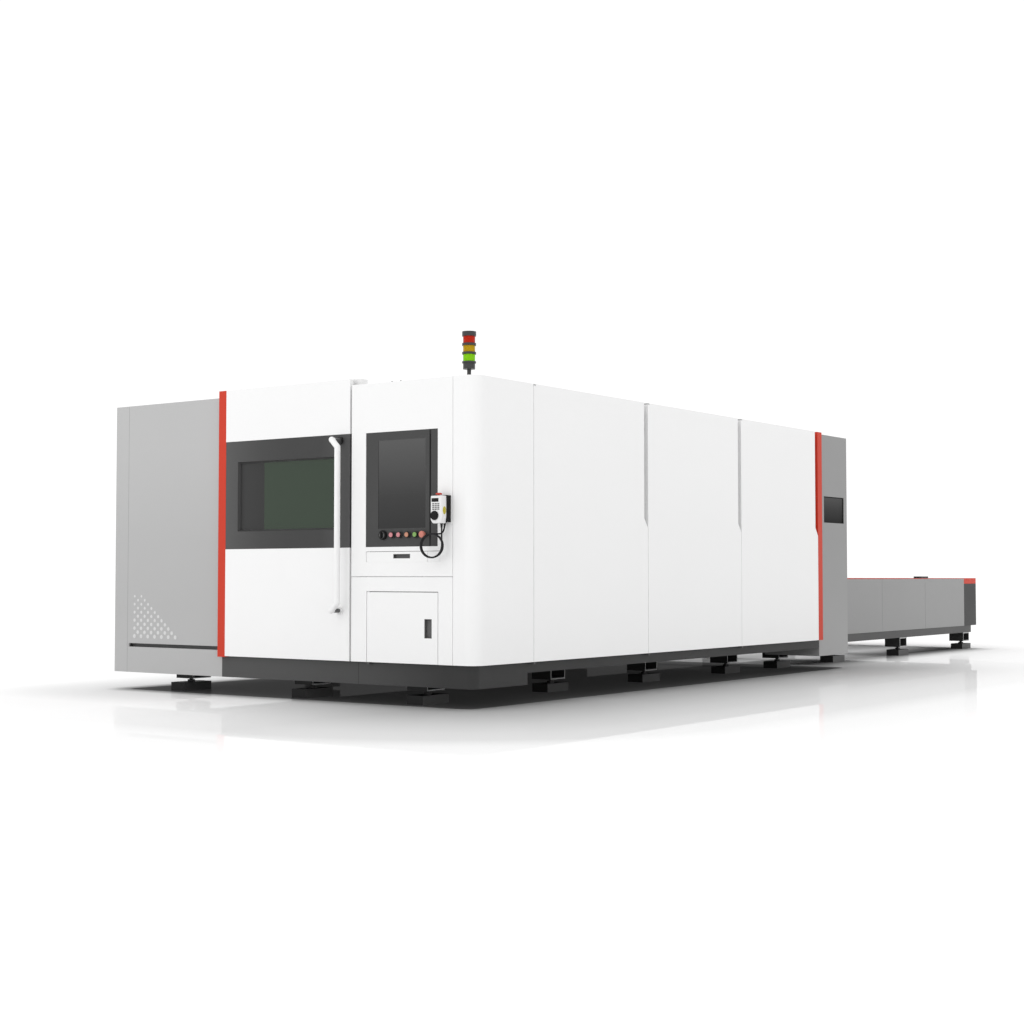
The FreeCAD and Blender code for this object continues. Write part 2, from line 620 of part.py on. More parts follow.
def build_frame():
    """Square tubes that carry shell and roof, standing on skirts and plinth."""
    parts = []
    post_z = ("shell_bottom", RAIL_Z[0])
    x_right = (right(f"{POST_OUT} + tube"), right(POST_OUT))
    x_left = (left(POST_OUT), left(f"{POST_OUT} + tube"))
    cross_y = (back("rear_of_front_rail - tube"), back("rear_of_front_rail"))
    for index, seam in enumerate(SEAMS + ["side_end + tube / 2"]):
        y = (back(f"{seam} - tube / 2"), back(f"{seam} + tube / 2"))
        parts.append(box(f"post_right_{index}", x_right, y, post_z))
        parts.append(box(f"post_left_{index}", x_left, y, post_z))
    parts.append(box("post_corner_right", x_right, cross_y, post_z))
    parts.append(box("post_corner_left", x_left, cross_y, post_z))
    rail_y = (back("rear_of_front_rail - tube"), back("rear_start"))
    parts.append(box("rail_side_right", x_right, rail_y, RAIL_Z))
    parts.append(box("rail_side_left", x_left, rail_y, RAIL_Z))
    parts.append(box("rail_front", (x_left[1], x_right[0]), cross_y, RAIL_Z))
    jamb_z = ("shell_bottom", RAIL_Z[1])
    jamb_x = (right("door_right + tube"), right("console_width - tube / 2"))
    parts.append(box("jamb_right", jamb_x, (back("shell_step"), cross_y[0]), jamb_z))
    jamb_x = (right("grey_edge + jamb_lap"), right("grey_edge + jamb_lap - tube"))
    parts.append(box("jamb_left", jamb_x, (back("shell_step + grey_plate"), cross_y[0]), jamb_z))
    keep("frame_tubes", parts)


def build_roof():
    """Roof plate, its front edge stepped behind grey section and console."""
    step = back("shell_step + grey_plate")
    points = [
        (left("shell_step"), step),
        (right("console_width"), step),
        (right("console_width"), back("shell_step")),
        (right("shell_step"), back("shell_step")),
        (right("shell_step"), back("rear_start")),
        (left("shell_step"), back("rear_start")),
    ]
    rounds = [(3, "corner_radius - shell_step")]
    keep("roof_plate", prism("roof_sheet", "XY", points, ROOF_Z[0], "roof_plate", rounds))
    y = (back("rail_front"), back("rail_front + rail_wide"))
    x = (right("rail_left"), right("rail_right"))
    keep("door_guides", box("door_rail", x, y, (ROOF_Z[1], "body_height")))
    stop_y = back("rail_front + rail_wide")
    keep("roof_plate", box("stop_block", (right("stop_left"), right("stop_right")),
                           (stop_y, f"{stop_y} + stop_depth"), (ROOF_Z[1], "stop_top")))
    bolts = []
    for name in ("bolt_one_at", "bolt_two_at"):
        bolts.append(round_bar(name + "_bolt", "z", "bolt_radius", right(name), back("rail_front"), ROOF_Z[1],
                               f"bolt_top - ({ROOF_Z[1]})"))
    keep("door_guides", bolts)


def build_corner_shell():
    """White shell round the right front corner."""
    x = right("0")
    inner = right("shell_step")
    points = [
        (right("corner_width"), back("0")),
        (x, back("0")),
        (x, back("corner_length - leaf_gap / 2")),
        (inner, back("corner_length - leaf_gap / 2")),
        (inner, back("shell_step")),
        (right("corner_width"), back("shell_step")),
    ]
    rounds = [(1, "corner_radius"), (4, "corner_radius - shell_step")]
    height = "body_height - shell_bottom"
    keep("corner_shell", prism("corner_shell", "XY", points, "shell_bottom", height, rounds))


CONSOLE_X = (right("console_width"), right("corner_width + seam"))
SHELL_Y = (back("0"), back("shell_step"))


def hole_through(name, x, z):
    """A tool that cuts an opening right through the front shell."""
    return box(name, x, (back("-shell_step"), back("2 * shell_step")), z)


DRAWER_Z = ("drawer_bottom + seat", "drawer_top - drawer_play")


def build_console():
    """Upper panel with openings for operating panel and drawer, and lower panel with the door opening."""
    upper = box("console_upper_blank", CONSOLE_X, SHELL_Y, ("console_split + seam / 2", "body_height"))
    hmi_x = (right("hmi_left"), right("hmi_right"))
    hmi_z = ("hmi_bottom", "hmi_top")
    drawer_x = (right("drawer_left"), right("drawer_right"))
    drawer_z = ("drawer_bottom", "drawer_top")
    holes = group("console_upper_holes", [hole_through("hmi_hole", hmi_x, hmi_z),
                                          hole_through("drawer_hole", drawer_x, drawer_z)])
    keep("console_panels", cut("console_panel_upper", upper, holes))
    lower = box("console_lower_blank", CONSOLE_X, SHELL_Y, ("shell_bottom", "console_split - seam / 2"))
    door_x = (right("cabinet_left"), right("cabinet_right"))
    panel = cut("console_lower_cut", lower, hole_through("cabinet_hole", door_x, ("0", "cabinet_top")))
    pin = round_bar("cabinet_top_pin", "z", "pin_radius", right("cabinet_left - leaf_gap - pin_inset"),
                    back("pin_inset"), "cabinet_top - pin_length", "pin_length + leaf_gap")
    keep("console_panels", joined("console_panel_lower", [panel, pin]))
    y = (back("shell_step"), back("shell_step + cabinet_depth"))
    wall = "box_wall"
    outer = box("cabinet_outer", (f"{door_x[0]} - {wall}", f"{door_x[1]} + {wall}"), y,
                ("shell_bottom", f"cabinet_top + {wall}"))
    space_z = (f"shell_bottom + {wall}", "cabinet_top")
    space = box("cabinet_space", door_x, (back("0"), f"{y[1]} - {wall}"), space_z)
    keep("console_housings", cut("cabinet_box", outer, space))
    y = (back("shell_step"), back("shell_step + drawer_depth + 2 * box_wall"))
    joint = right("drawer_end")
    outer = box("housing_outer", (f"{drawer_x[0]} - {wall}", f"{joint} + {wall}"), y,
                (f"drawer_bottom - {wall}", f"drawer_top + {wall}"))
    space = box("housing_space", (drawer_x[0], joint), (back("0"), f"{y[1]} - {wall}"), drawer_z)
    keep("console_housings", cut("drawer_housing", outer, space))
    keep("console_panels", box("drawer_cover", (joint, f"{drawer_x[1]} - seam"),
                               (back("hmi_inset / 2"), SHELL_Y[1]), DRAWER_Z))


HMI_FACE = back("hmi_inset")
BUTTONS = [
    ("button_one", "button_one_at"),
    ("button_two", "button_two_at"),
    ("button_three", "button_three_at"),
    ("button_four", "button_four_at"),
]
BORE_DEPTH = "button_depth + button_travel + 1"


def build_operating_panel():
    """Black operating panel with screen, key switch, four buttons and emergency stop."""
    panel_x = (right("hmi_left"), right("hmi_right"))
    frame = box("hmi_blank", panel_x, (HMI_FACE, SHELL_Y[1]), ("hmi_bottom", "hmi_top"))
    screen_x = (right("screen_left"), right("screen_right"))
    screen_z = ("screen_bottom", "screen_top")
    screen_back = f"{HMI_FACE} + hmi_inset + screen_depth"
    tools = [
        box("screen_pocket", screen_x, (f"{HMI_FACE} - 1", screen_back), screen_z),
        box("groove", (right("groove_at"), right("groove_at - groove_width")),
            (f"{HMI_FACE} - 1", f"{HMI_FACE} + groove_width"), ("groove_bottom", "groove_top")),
    ]
    bores = [(name, place_name, "button_radius") for name, place_name in BUTTONS]
    bores += [("stop", "stop_at", "stop_stem"), ("key", "key_at", "stop_stem")]
    for name, place_name, radius in bores:
        tools.append(round_bar(name + "_bore", "y", f"{radius} + button_play", right(place_name),
                               f"{HMI_FACE} - 1", "row_height", f"{BORE_DEPTH} + 1"))
    keep("operating_panel", cut("panel_frame", frame, group("hmi_tools", tools)))
    keep("screen", box("screen", screen_x, (f"{HMI_FACE} + hmi_inset", screen_back), screen_z))

    collars = []
    for name, place_name in BUTTONS:
        ring = round_bar(name + "_ring", "y", "collar_radius", right(place_name),
                         f"{HMI_FACE} - collar_proud", "row_height", "collar_proud")
        bore = round_bar(name + "_ring_bore", "y", "button_radius + button_play", right(place_name),
                         f"{HMI_FACE} - collar_proud - 1", "row_height", "collar_proud + 2")
        collars.append(cut(name + "_collar", ring, bore))
    keep("operating_panel", collars)
    for name, place_name in BUTTONS:
        keep(name, round_bar(name, "y", "button_radius", right(place_name), f"{HMI_FACE} - button_proud",
                             "row_height", "button_proud + button_depth"))

    stem = round_bar("stop_stem_bar", "y", "stop_stem", right("stop_at"), f"{HMI_FACE} - stop_proud / 2",
                     "row_height", "stop_proud / 2 + button_depth")
    head = round_bar("stop_head", "y", "stop_radius", right("stop_at"),
                     f"{HMI_FACE} - stop_proud + stop_bevel", "row_height", "stop_proud / 2 - stop_bevel")
    dome = doc.addObject("Part::Cone", "stop_dome")
    dome.Placement = FreeCAD.Placement(FreeCAD.Vector(), TURNS["y"])
    bind(dome, "Radius1", "stop_radius - stop_bevel")
    bind(dome, "Radius2", "stop_radius")
    bind(dome, "Height", "stop_bevel")
    place(dome, right("stop_at"), f"{HMI_FACE} - stop_proud", "row_height")
    keep("emergency_stop", joined("emergency_stop", [stem, head, dome]))

    knob = round_bar("key_knob", "y", "key_radius", right("key_at"), f"{HMI_FACE} - key_proud", "row_height",
                     "key_proud - seat")
    shaft = round_bar("key_shaft", "y", "stop_stem", right("key_at"), f"{HMI_FACE} - key_proud", "row_height",
                      "key_proud + button_depth")
    bar = box("key_bar_block", (f"{right('key_at')} - key_bar / 2", f"{right('key_at')} + key_bar / 2"),
              (f"{HMI_FACE} - key_proud - key_bar", f"{HMI_FACE} - key_proud"),
              ("row_height - key_bar_half", "row_height + key_bar_half"))
    keep("key_switch", joined("key_switch", [knob, shaft, bar]))


def grip_cup(name, x, z, face):
    """A black recessed grip, open to the front."""
    outer = box(name + "_outer", x, (face, f"{face} + grip_depth"), z)
    space_y = (f"{face} - 1", f"{face} + grip_depth - grip_wall")
    space = box(name + "_space", (f"{x[0]} + grip_wall", f"{x[1]} - grip_wall"), space_y,
                (f"{z[0]} + grip_wall", f"{z[1]} - grip_wall"))
    return cut(name, outer, space)


def build_drawer():
    x = (right("drawer_left - drawer_play"), right("drawer_end + drawer_play"))
    low, high = DRAWER_Z
    face = back("hmi_inset / 2")
    front_plate = box("drawer_front", x, (face, back("leaf")), DRAWER_Z)
    tray = box("drawer_tray", x, (back("leaf"), back("leaf + drawer_depth")), (low, f"{high} - box_wall"))
    space_y = (back("leaf"), back("leaf + drawer_depth - drawer_wall"))
    space = box("drawer_space", (f"{x[0]} + drawer_wall", f"{x[1]} - drawer_wall"), space_y,
                (f"{low} + drawer_wall", "drawer_top"))
    grip_x = (right("pull_left"), right("pull_right"))
    grip_z = ("pull_bottom", "pull_top")
    pocket = box("drawer_grip_pocket", grip_x, (f"{face} - 1", f"{face} + grip_depth"), grip_z)
    tray_open = cut("drawer_tray_open", tray, space)
    front_open = cut("drawer_front_open", front_plate, pocket)
    keep("keyboard_drawer", joined("keyboard_drawer", [front_open, tray_open]))
    keep("drawer_grip", grip_cup("drawer_grip", grip_x, grip_z, face))


def build_lower_door():
    x = (right("cabinet_left - leaf_gap"), right("cabinet_right + leaf_gap"))
    z = ("shell_bottom + seat", "cabinet_top - leaf_gap")
    leaf = box("lower_leaf", x, (back("0"), back("leaf")), z)
    grip_x = (right("latch_left"), right("latch_right"))
    grip_z = ("latch_bottom", "latch_top")
    tools = [box("latch_pocket", grip_x, (back("-1"), back("grip_depth")), grip_z)]
    for name, hole_low, hole_length in (("top", "cabinet_top - pin_length - seat", "pin_length"),
                                        ("bottom", "shell_bottom", "pin_length + 1")):
        tools.append(round_bar(f"lower_door_{name}_hole", "z", "pin_radius + pin_play", f"{x[0]} + pin_inset",
                               back("pin_inset"), hole_low, hole_length))
    keep("lower_door", cut("lower_door", leaf, group("lower_door_tools", tools)))
    keep("lower_door_grip", grip_cup("lower_door_grip", grip_x, grip_z, back("0")))


def build_pendant():
    """Hand pendant in its holder beside the operating panel."""
    x = (right("pendant_left"), right("pendant_right"))
    face = back("-(pendant_back + pendant_thick)")
    rear = back("-pendant_back")
    points = [(x[0], face), (x[1], face), (x[1], rear), (x[0], rear)]
    rounds = [(0, "pendant_round"), (1, "pendant_round")]
    blank = prism("pendant_blank", "XY", points, "pendant_bottom", "pendant_top - pendant_bottom", rounds)
    display_x = (f"{x[0]} + display_margin", f"{x[1]} - display_margin")
    display_z = ("display_bottom", "display_top")
    middle_y = f"{face} + pendant_thick / 2"
    tools = [
        box("display_pocket", display_x, (f"{face} - 1", f"{face} + 2"), display_z),
        round_bar("wheel_bore", "y", "wheel_shaft + shaft_play", right("wheel_at"), f"{face} - 1",
                  "wheel_height", "shaft_depth + 2"),
        round_bar("stop_bore", "z", "wheel_shaft + shaft_play", right("pendant_stop_at"), middle_y,
                  "pendant_top - shaft_depth - button_travel", "shaft_depth + 2 * button_travel"),
        round_bar("side_bore", "x", "side_button_radius + shaft_play", f"{x[1]} - shaft_depth", middle_y,
                  "side_button_height", "shaft_depth + 1"),
    ]
    keep("pendant_body", cut("pendant_body", blank, group("pendant_tools", tools)))
    keep("pendant_holder", box("pendant_display", display_x, (f"{face} + 0.5", f"{face} + 2"), display_z))
    disc = round_bar("wheel_disc", "y", "wheel_radius", right("wheel_at"), f"{face} - seat - wheel_thick",
                     "wheel_height", "wheel_thick")
    shaft = round_bar("wheel_shaft_bar", "y", "wheel_shaft", right("wheel_at"), f"{face} - wheel_thick",
                      "wheel_height", "wheel_thick + shaft_depth")
    knob = round_bar("wheel_knob", "y", "wheel_shaft", f"{right('wheel_at')} + knob_out",
                     f"{face} - seat - wheel_thick - knob_proud", "wheel_height", "wheel_thick")
    keep("pendant_wheel", joined("pendant_wheel", [disc, shaft, knob]))
    gap = "(button_travel + 1)"
    head = round_bar("pendant_stop_head", "z", "pendant_stop_radius", right("pendant_stop_at"), middle_y,
                     f"pendant_top + {gap}", f"pendant_stop_high - {gap}")
    stem = round_bar("pendant_stop_stem", "z", "wheel_shaft", right("pendant_stop_at"), middle_y,
                     "pendant_top - shaft_depth + 1", "shaft_depth + pendant_stop_high - 2")
    keep("pendant_stop", joined("pendant_stop", [head, stem]))
    button_x = f"{x[1]} - shaft_depth + side_button_travel + 1"
    keep("enabling_button", round_bar("enabling_button", "x", "side_button_radius", button_x, middle_y,
                                      "side_button_height", f"{x[1]} + side_button_proud - ({button_x})"))
    keep("pendant_holder", box("holder_block", (x[0], f"{x[1]} + holder_edge"), (rear, back("0")),
                               ("pendant_bottom + holder_rise", "pendant_top + holder_edge")))


def point(x, y, z):
    return FreeCAD.Vector(x, y, z)


def arc_between(start, control, end):
    """The arc that leaves start towards control and arrives at end from control."""
    middle = (start + end) * 0.5
    half_chord = (end - start).Length / 2
    half_turn = math.acos(min(1.0, half_chord / (control - start).Length))
    lift = (control - middle).normalize() * (half_chord * math.tan(half_turn / 2))
    return Part.Arc(start, middle + lift, end).toShape()


def biarc(start, start_way, end, end_way):
    """Two arcs that join two places with given directions."""
    chord = end - start
    ways = start_way + end_way
    spread = 2 * (1 - start_way.dot(end_way))
    reach = (-chord.dot(ways) + math.sqrt(chord.dot(ways) ** 2 + spread * chord.dot(chord))) / spread
    first = start + start_way * reach
    second = end - end_way * reach
    meet = (first + second) * 0.5
    return [arc_between(start, first, meet), arc_between(meet, second, end)]


def tube_along(name, edges, radius, start, way):
    """A round tube of one piece along a path."""
    ring = Part.Wire([Part.makeCircle(radius, start, way)])
    shell = Part.BRepOffsetAPI.MakePipeShell(Part.Wire(edges))
    shell.add(ring)
    shell.build()
    shell.makeSolid()
    part = doc.addObject("Part::Feature", name)
    part.Shape = shell.shape()
    part.Placement = FreeCAD.Placement()
    return part


def build_cable():
    """Pendant cable: down from the pendant, round the hanging coil, and back into the console."""
    radius = value("cord_radius")
    facing = math.radians(value("coil_turn"))
    across = point(math.cos(facing), math.sin(facing), 0)
    inward = point(-math.sin(facing), math.cos(facing), 0)
    upward = point(0, 0, 1)
    coil_radius = value("coil_radius")
    pitch = value("coil_pitch")
    quarters = int(value("coil_quarters"))
    first = point(value(right("cord_at")), value(back("-cord_out")), value("coil_height"))
    centre = first - across * coil_radius
    climb = pitch / (2 * math.pi)

    def on_coil(angle):
        rim = across * (coil_radius * math.cos(angle)) - upward * (coil_radius * math.sin(angle))
        return centre + rim + inward * (climb * angle)

    def way_on_coil(angle):
        round_way = across * (-coil_radius * math.sin(angle)) - upward * (coil_radius * math.cos(angle))
        return (round_way + inward * climb).normalize()

    straight = value("cord_straight")
    start = first - way_on_coil(0) * straight
    edges = [Part.LineSegment(start, first).toShape()]
    for index in range(quarters):
        low = index * math.pi / 2
        high = low + math.pi / 2
        edges += biarc(on_coil(low), way_on_coil(low), on_coil(high), way_on_coil(high))
    last = quarters * math.pi / 2
    end = on_coil(last) + way_on_coil(last) * straight
    edges.append(Part.LineSegment(on_coil(last), end).toShape())
    keep("pendant_coil", tube_along("pendant_coil", edges, radius, start, way_on_coil(0)))

    steps = 400
    samples = [on_coil(last * step / steps) for step in range(steps + 1)]
    half_turn = int(steps * math.pi / last)
    pairs = [(a, b) for a in range(steps + 1) for b in range(a + half_turn, steps + 1)]
    least = min((samples[a] - samples[b]).Length for a, b in pairs)
    print(f"pendant coil: cable radius {radius} mm, least gap to itself {least - 2 * radius:.2f} mm")

    top = point(start.x, start.y, value("pendant_bottom"))
    lead = Part.LineSegment(top, start).toShape()
    keep("pendant_lead", tube_along("pendant_lead", [lead], radius, top, upward * -1))
    out_way = way_on_coil(last)
    bend = end + out_way * value("tail_run")
    top = point(bend.x, bend.y, value("pendant_bottom + holder_rise"))
    into = (top - bend).normalize()
    half_turn_angle = math.acos(out_way.dot(into)) / 2
    bend_share = 0.45
    reach = bend_share * min((bend - end).Length, (top - bend).Length)
    bend_start = bend - out_way * reach
    bend_end = bend + into * reach
    tail_edges = [
        Part.LineSegment(end, bend_start).toShape(),
        arc_between(bend_start, bend, bend_end),
        Part.LineSegment(bend_end, top).toShape(),
    ]
    keep("pendant_tail", tube_along("pendant_tail", tail_edges, radius, end, out_way))
    print(f"pendant cable: bend radius {reach / math.tan(half_turn_angle):.1f} mm")
    lengths = sum(edge.Length for edge in edges + tail_edges) + lead.Length
    print(f"pendant cable: length {lengths:.0f} mm, ends at {tuple(round(c, 2) for c in top)}")
    for name in ("pendant_coil", "pendant_lead", "pendant_tail"):
        shape = nodes[name][0].Shape
        print(f"{name}: volume over section {shape.Volume / (math.pi * radius ** 2):.1f} mm")


def build_sliding_door():
    x = (right("door_left"), right("door_right"))
    leaf_y = (back("0"), back("leaf"))
    band_z = ("band_bottom", "band_top")
    window_x = (right("window_left"), right("window_right"))
    window_z = ("window_bottom", "window_top")
    band_back = back("band_depth")
    leaf = box("door_blank", x, leaf_y, ("shell_bottom", "door_top"))
    tools = [
        box("band_pocket", (f"{x[0]} - 1", f"{x[1]} + 1"), (back("-1"), band_back), band_z),
        hole_through("window_hole", (f"{window_x[0]} + window_lip", f"{window_x[1]} - window_lip"),
                     (f"{window_z[0]} + window_lip", f"{window_z[1]} - window_lip")),
    ]
    keep("door_leaf", cut("door_leaf", leaf, group("door_tools", tools)))
    band = box("band_blank", x, (back("1"), band_back), band_z)
    keep("door_band", cut("band_frame", band, hole_through("band_window", window_x, window_z)))
    pane_y = (f"{band_back} - glass", band_back)
    keep("door_band", box("band_frit", (window_x[0], right("frit_right")), pane_y, window_z))
    keep("door_glass", box("door_glass", (right("frit_right"), window_x[1]), pane_y, window_z))
    strip_x = (f"{x[0]} - strip_width", x[0])
    keep("door_red_strip", box("door_red_strip", strip_x, leaf_y, ("strip_bottom", "door_top")))

    hangers = []
    for name, x_low in (("hanger_left", f"{x[0]} + hanger_inset"),
                        ("hanger_right", f"{x[1]} - hanger_inset - hanger_wide")):
        rail_back = back("rail_front + rail_wide + seat * 2")
        points = [
            (back("leaf"), "body_height + seat"),
            (rail_back, "body_height + seat"),
            (rail_back, f"{ROOF_Z[1]} + 2"),
            (f"{rail_back} + hanger_lip", f"{ROOF_Z[1]} + 2"),
            (f"{rail_back} + hanger_lip", "hanger_top"),
            (back("leaf"), "hanger_top"),
        ]
        hangers.append(prism(name, "YZ", points, x_low, "hanger_wide"))
    shoe_x = f"{x[0]} - strip_width / 2"
    shoe_y = (leaf_y[1], f"{leaf_y[1]} + shoe_reach")
    hangers.append(box("guide_shoe", (f"{shoe_x} - shoe_wide / 2", f"{shoe_x} + shoe_wide / 2"), shoe_y,
                       ("slot_bottom + shoe_play", "slot_top - shoe_play")))
    keep("door_hangers", hangers)


def ball(name, radius, x, y, z):
    part = doc.addObject("Part::Sphere", name)
    bind(part, "Radius", radius)
    place(part, x, y, z)
    return part


def build_handle():
    """Tall tube handle with slanting ends on two standoffs."""
    x = right("handle_at")
    y = back("-(handle_reach - handle_radius)")
    end_x = f"{x} - handle_end"
    parts = [round_bar("handle_tube", "z", "handle_radius", x, y, "handle_low", "handle_high - handle_low")]
    roses = []
    for name, elbow, sign in (("high", "handle_high", 1), ("low", "handle_low", -1)):
        slant = doc.addObject("Part::Cylinder", "handle_slant_" + name)
        bind(slant, "Radius", "handle_radius")
        bind(slant, "Height", "handle_end * sqrt(2)")
        turn = FreeCAD.Rotation(FreeCAD.Vector(0, 1, 0), -90 + 45 * sign)
        slant.Placement = FreeCAD.Placement(FreeCAD.Vector(), turn)
        place(slant, x, y, elbow)
        end_z = f"{elbow} + handle_end * {sign}"
        parts.append(slant)
        parts.append(ball("handle_elbow_" + name, "handle_radius", x, y, elbow))
        parts.append(ball("handle_tip_" + name, "handle_radius", end_x, y, end_z))
        parts.append(round_bar("handle_post_" + name, "y", "post_radius", end_x, y, end_z,
                               "handle_reach - handle_radius - rose_thick"))
        roses.append(round_bar("handle_rose_" + name, "y", "rose_radius", end_x, back("-rose_thick"), end_z,
                               "rose_thick"))
    keep("door_handle", joined("door_handle", parts))
    keep("door_hangers", roses)


def build_grey_front():
    """Grey section left of the door, with the slot that guides the door's foot."""
    y = (back("shell_step"), back("shell_step + grey_plate"))
    x = (left("post_width"), right("grey_edge"))
    keep("grey_front", box("grey_panel", x, y, ("slot_top", "body_height")))
    keep("grey_front", box("grey_fascia", (x[0], right("fascia_edge")), y, ("plinth_bottom", "slot_bottom")))
    points = [
        (left("0"), y[0]),
        (left("post_width"), y[0]),
        (left("post_width"), y[1]),
        (left("shell_step"), y[1]),
        (left("shell_step"), back("post_return")),
        (left("0"), back("post_return")),
    ]
    height = "body_height - plinth_bottom"
    keep("grey_front", prism("grey_corner_post", "XY", points, "plinth_bottom", height))
    deep = f"{y[0]} + shoe_reach"
    outline = [
        (y[1], "slot_bottom - channel_flange"),
        (f"{deep} + channel_wall", "slot_bottom - channel_flange"),
        (f"{deep} + channel_wall", "slot_top + channel_flange"),
        (y[1], "slot_top + channel_flange"),
        (y[1], "slot_top"),
        (deep, "slot_top"),
        (deep, "slot_bottom"),
        (y[1], "slot_bottom"),
    ]
    end = right("grey_edge + grey_plate")
    keep("door_guides", prism("door_guide_channel", "YZ", outline, x[0], f"{end} - {x[0]}"))


def build_sides():
    """Three hinged doors on the right, fixed panels on the left, seam plates and rear red strips."""
    seams = SEAMS + ["side_end"]
    lugs = []
    for index in range(3):
        front_edge = back(f"{seams[index]} + leaf_gap / 2")
        rear_edge = back(f"{seams[index + 1]} - leaf_gap / 2")
        top = "body_height"
        notch = f"{ROOF_Z[1]} - seat"
        points = [
            (front_edge, "shell_bottom + seat"),
            (rear_edge, "shell_bottom + seat"),
            (rear_edge, "grip_bottom"),
            (f"{rear_edge} - grip_width", "grip_bottom + grip_slope"),
            (f"{rear_edge} - grip_width", top),
            (f"{front_edge} + lug_notch", top),
            (f"{front_edge} + lug_notch", notch),
            (front_edge, notch),
        ]
        leaf = prism(f"side_leaf_{index + 1}", "YZ", points, right("leaf"), "leaf")
        pin_x = right("pin_inset")
        pin_y = f"{front_edge} + pin_inset"
        holes = [
            round_bar(f"side_hole_low_{index}", "z", "pin_radius + pin_play", pin_x, pin_y, "shell_bottom",
                      "pin_length + 2"),
            round_bar(f"side_hole_high_{index}", "z", "pin_radius + pin_play", pin_x, pin_y,
                      f"{ROOF_Z[1]} - pin_length - 2", "pin_length + 2"),
        ]
        node = f"side_door_{index + 1}"
        keep(node, cut(node, leaf, group(f"side_holes_{index}", holes)))
        lug_y = (f"{front_edge} + lug_offset", f"{front_edge} + lug_offset + lug_length")
        lug_top = "shell_bottom - seat"
        low = box(f"lug_low_{index}", (right("shell_step"), right("2 * lug_offset")), lug_y,
                  (f"{lug_top} - lug_height", lug_top))
        low_pin = round_bar(f"lug_low_pin_{index}", "z", "pin_radius", pin_x, pin_y, f"{lug_top} - 1",
                            "pin_length + 1")
        high = box(f"lug_high_{index}", (right("shell_step + tube"), right("2 * lug_offset")), lug_y,
                   (ROOF_Z[1], "body_height"))
        high_pin = round_bar(f"lug_high_pin_{index}", "z", "pin_radius", pin_x, pin_y,
                             f"{ROOF_Z[1]} - pin_length", "pin_length + 1")
        lugs.append(joined(f"lug_low_joined_{index}", [low, low_pin]))
        lugs.append(joined(f"lug_high_joined_{index}", [high, high_pin]))
    lug_top = "shell_bottom - seat"
    axis_x = right("cabinet_left - leaf_gap - pin_inset")
    low = box("lug_cabinet", (f"{axis_x} - pin_inset", f"{axis_x} + lug_length - pin_inset"),
              (back("2 * lug_offset"), back("shell_step")), (f"{lug_top} - lug_height", lug_top))
    low_pin = round_bar("lug_cabinet_pin", "z", "pin_radius", axis_x, back("pin_inset"), f"{lug_top} - 1",
                        "pin_length + 1")
    lugs.append(joined("lug_cabinet_joined", [low, low_pin]))
    keep("frame_tubes", lugs)

    panels = []
    panel_z = ("shell_bottom", "body_height")
    starts = ["post_return"] + SEAMS
    ends = SEAMS + ["side_end"]
    for index, (start, end) in enumerate(zip(starts, ends)):
        first = start if index == 0 else f"{start} + seam / 2"
        y = (back(first), back(f"{end} - seam / 2"))
        panels.append(box(f"left_panel_{index}", (left("0"), left("shell_step")), y, panel_z))
    keep("fixed_side_panels", panels)

    plates = []
    plate_z = ("shell_bottom", ROOF_Z[0])
    plate_x = (right(POST_OUT), right("shell_step"))
    left_x = (left("shell_step"), left(POST_OUT))
    for index, seam in enumerate(SEAMS):
        y = (back(f"{seam} - seam_plate_wide"), back(f"{seam} + tube / 2"))
        plates.append(box(f"seam_plate_right_{index}", plate_x, y, plate_z))
        plates.append(box(f"seam_plate_left_{index}", left_x, y, plate_z))
    keep("frame_tubes", plates)
    y = (back("side_end"), back("rear_start"))
    plate_y = (back("side_end - seam_plate_wide"), back("rear_start"))
    strips = [
        box("strip_right", (right("shell_step"), right("0")), y, panel_z),
        box("strip_left", (left("0"), left("shell_step")), y, panel_z),
        box("strip_plate_right", plate_x, plate_y, plate_z),
        box("strip_plate_left", left_x, plate_y, plate_z),
    ]
    keep("rear_red_strips", strips)


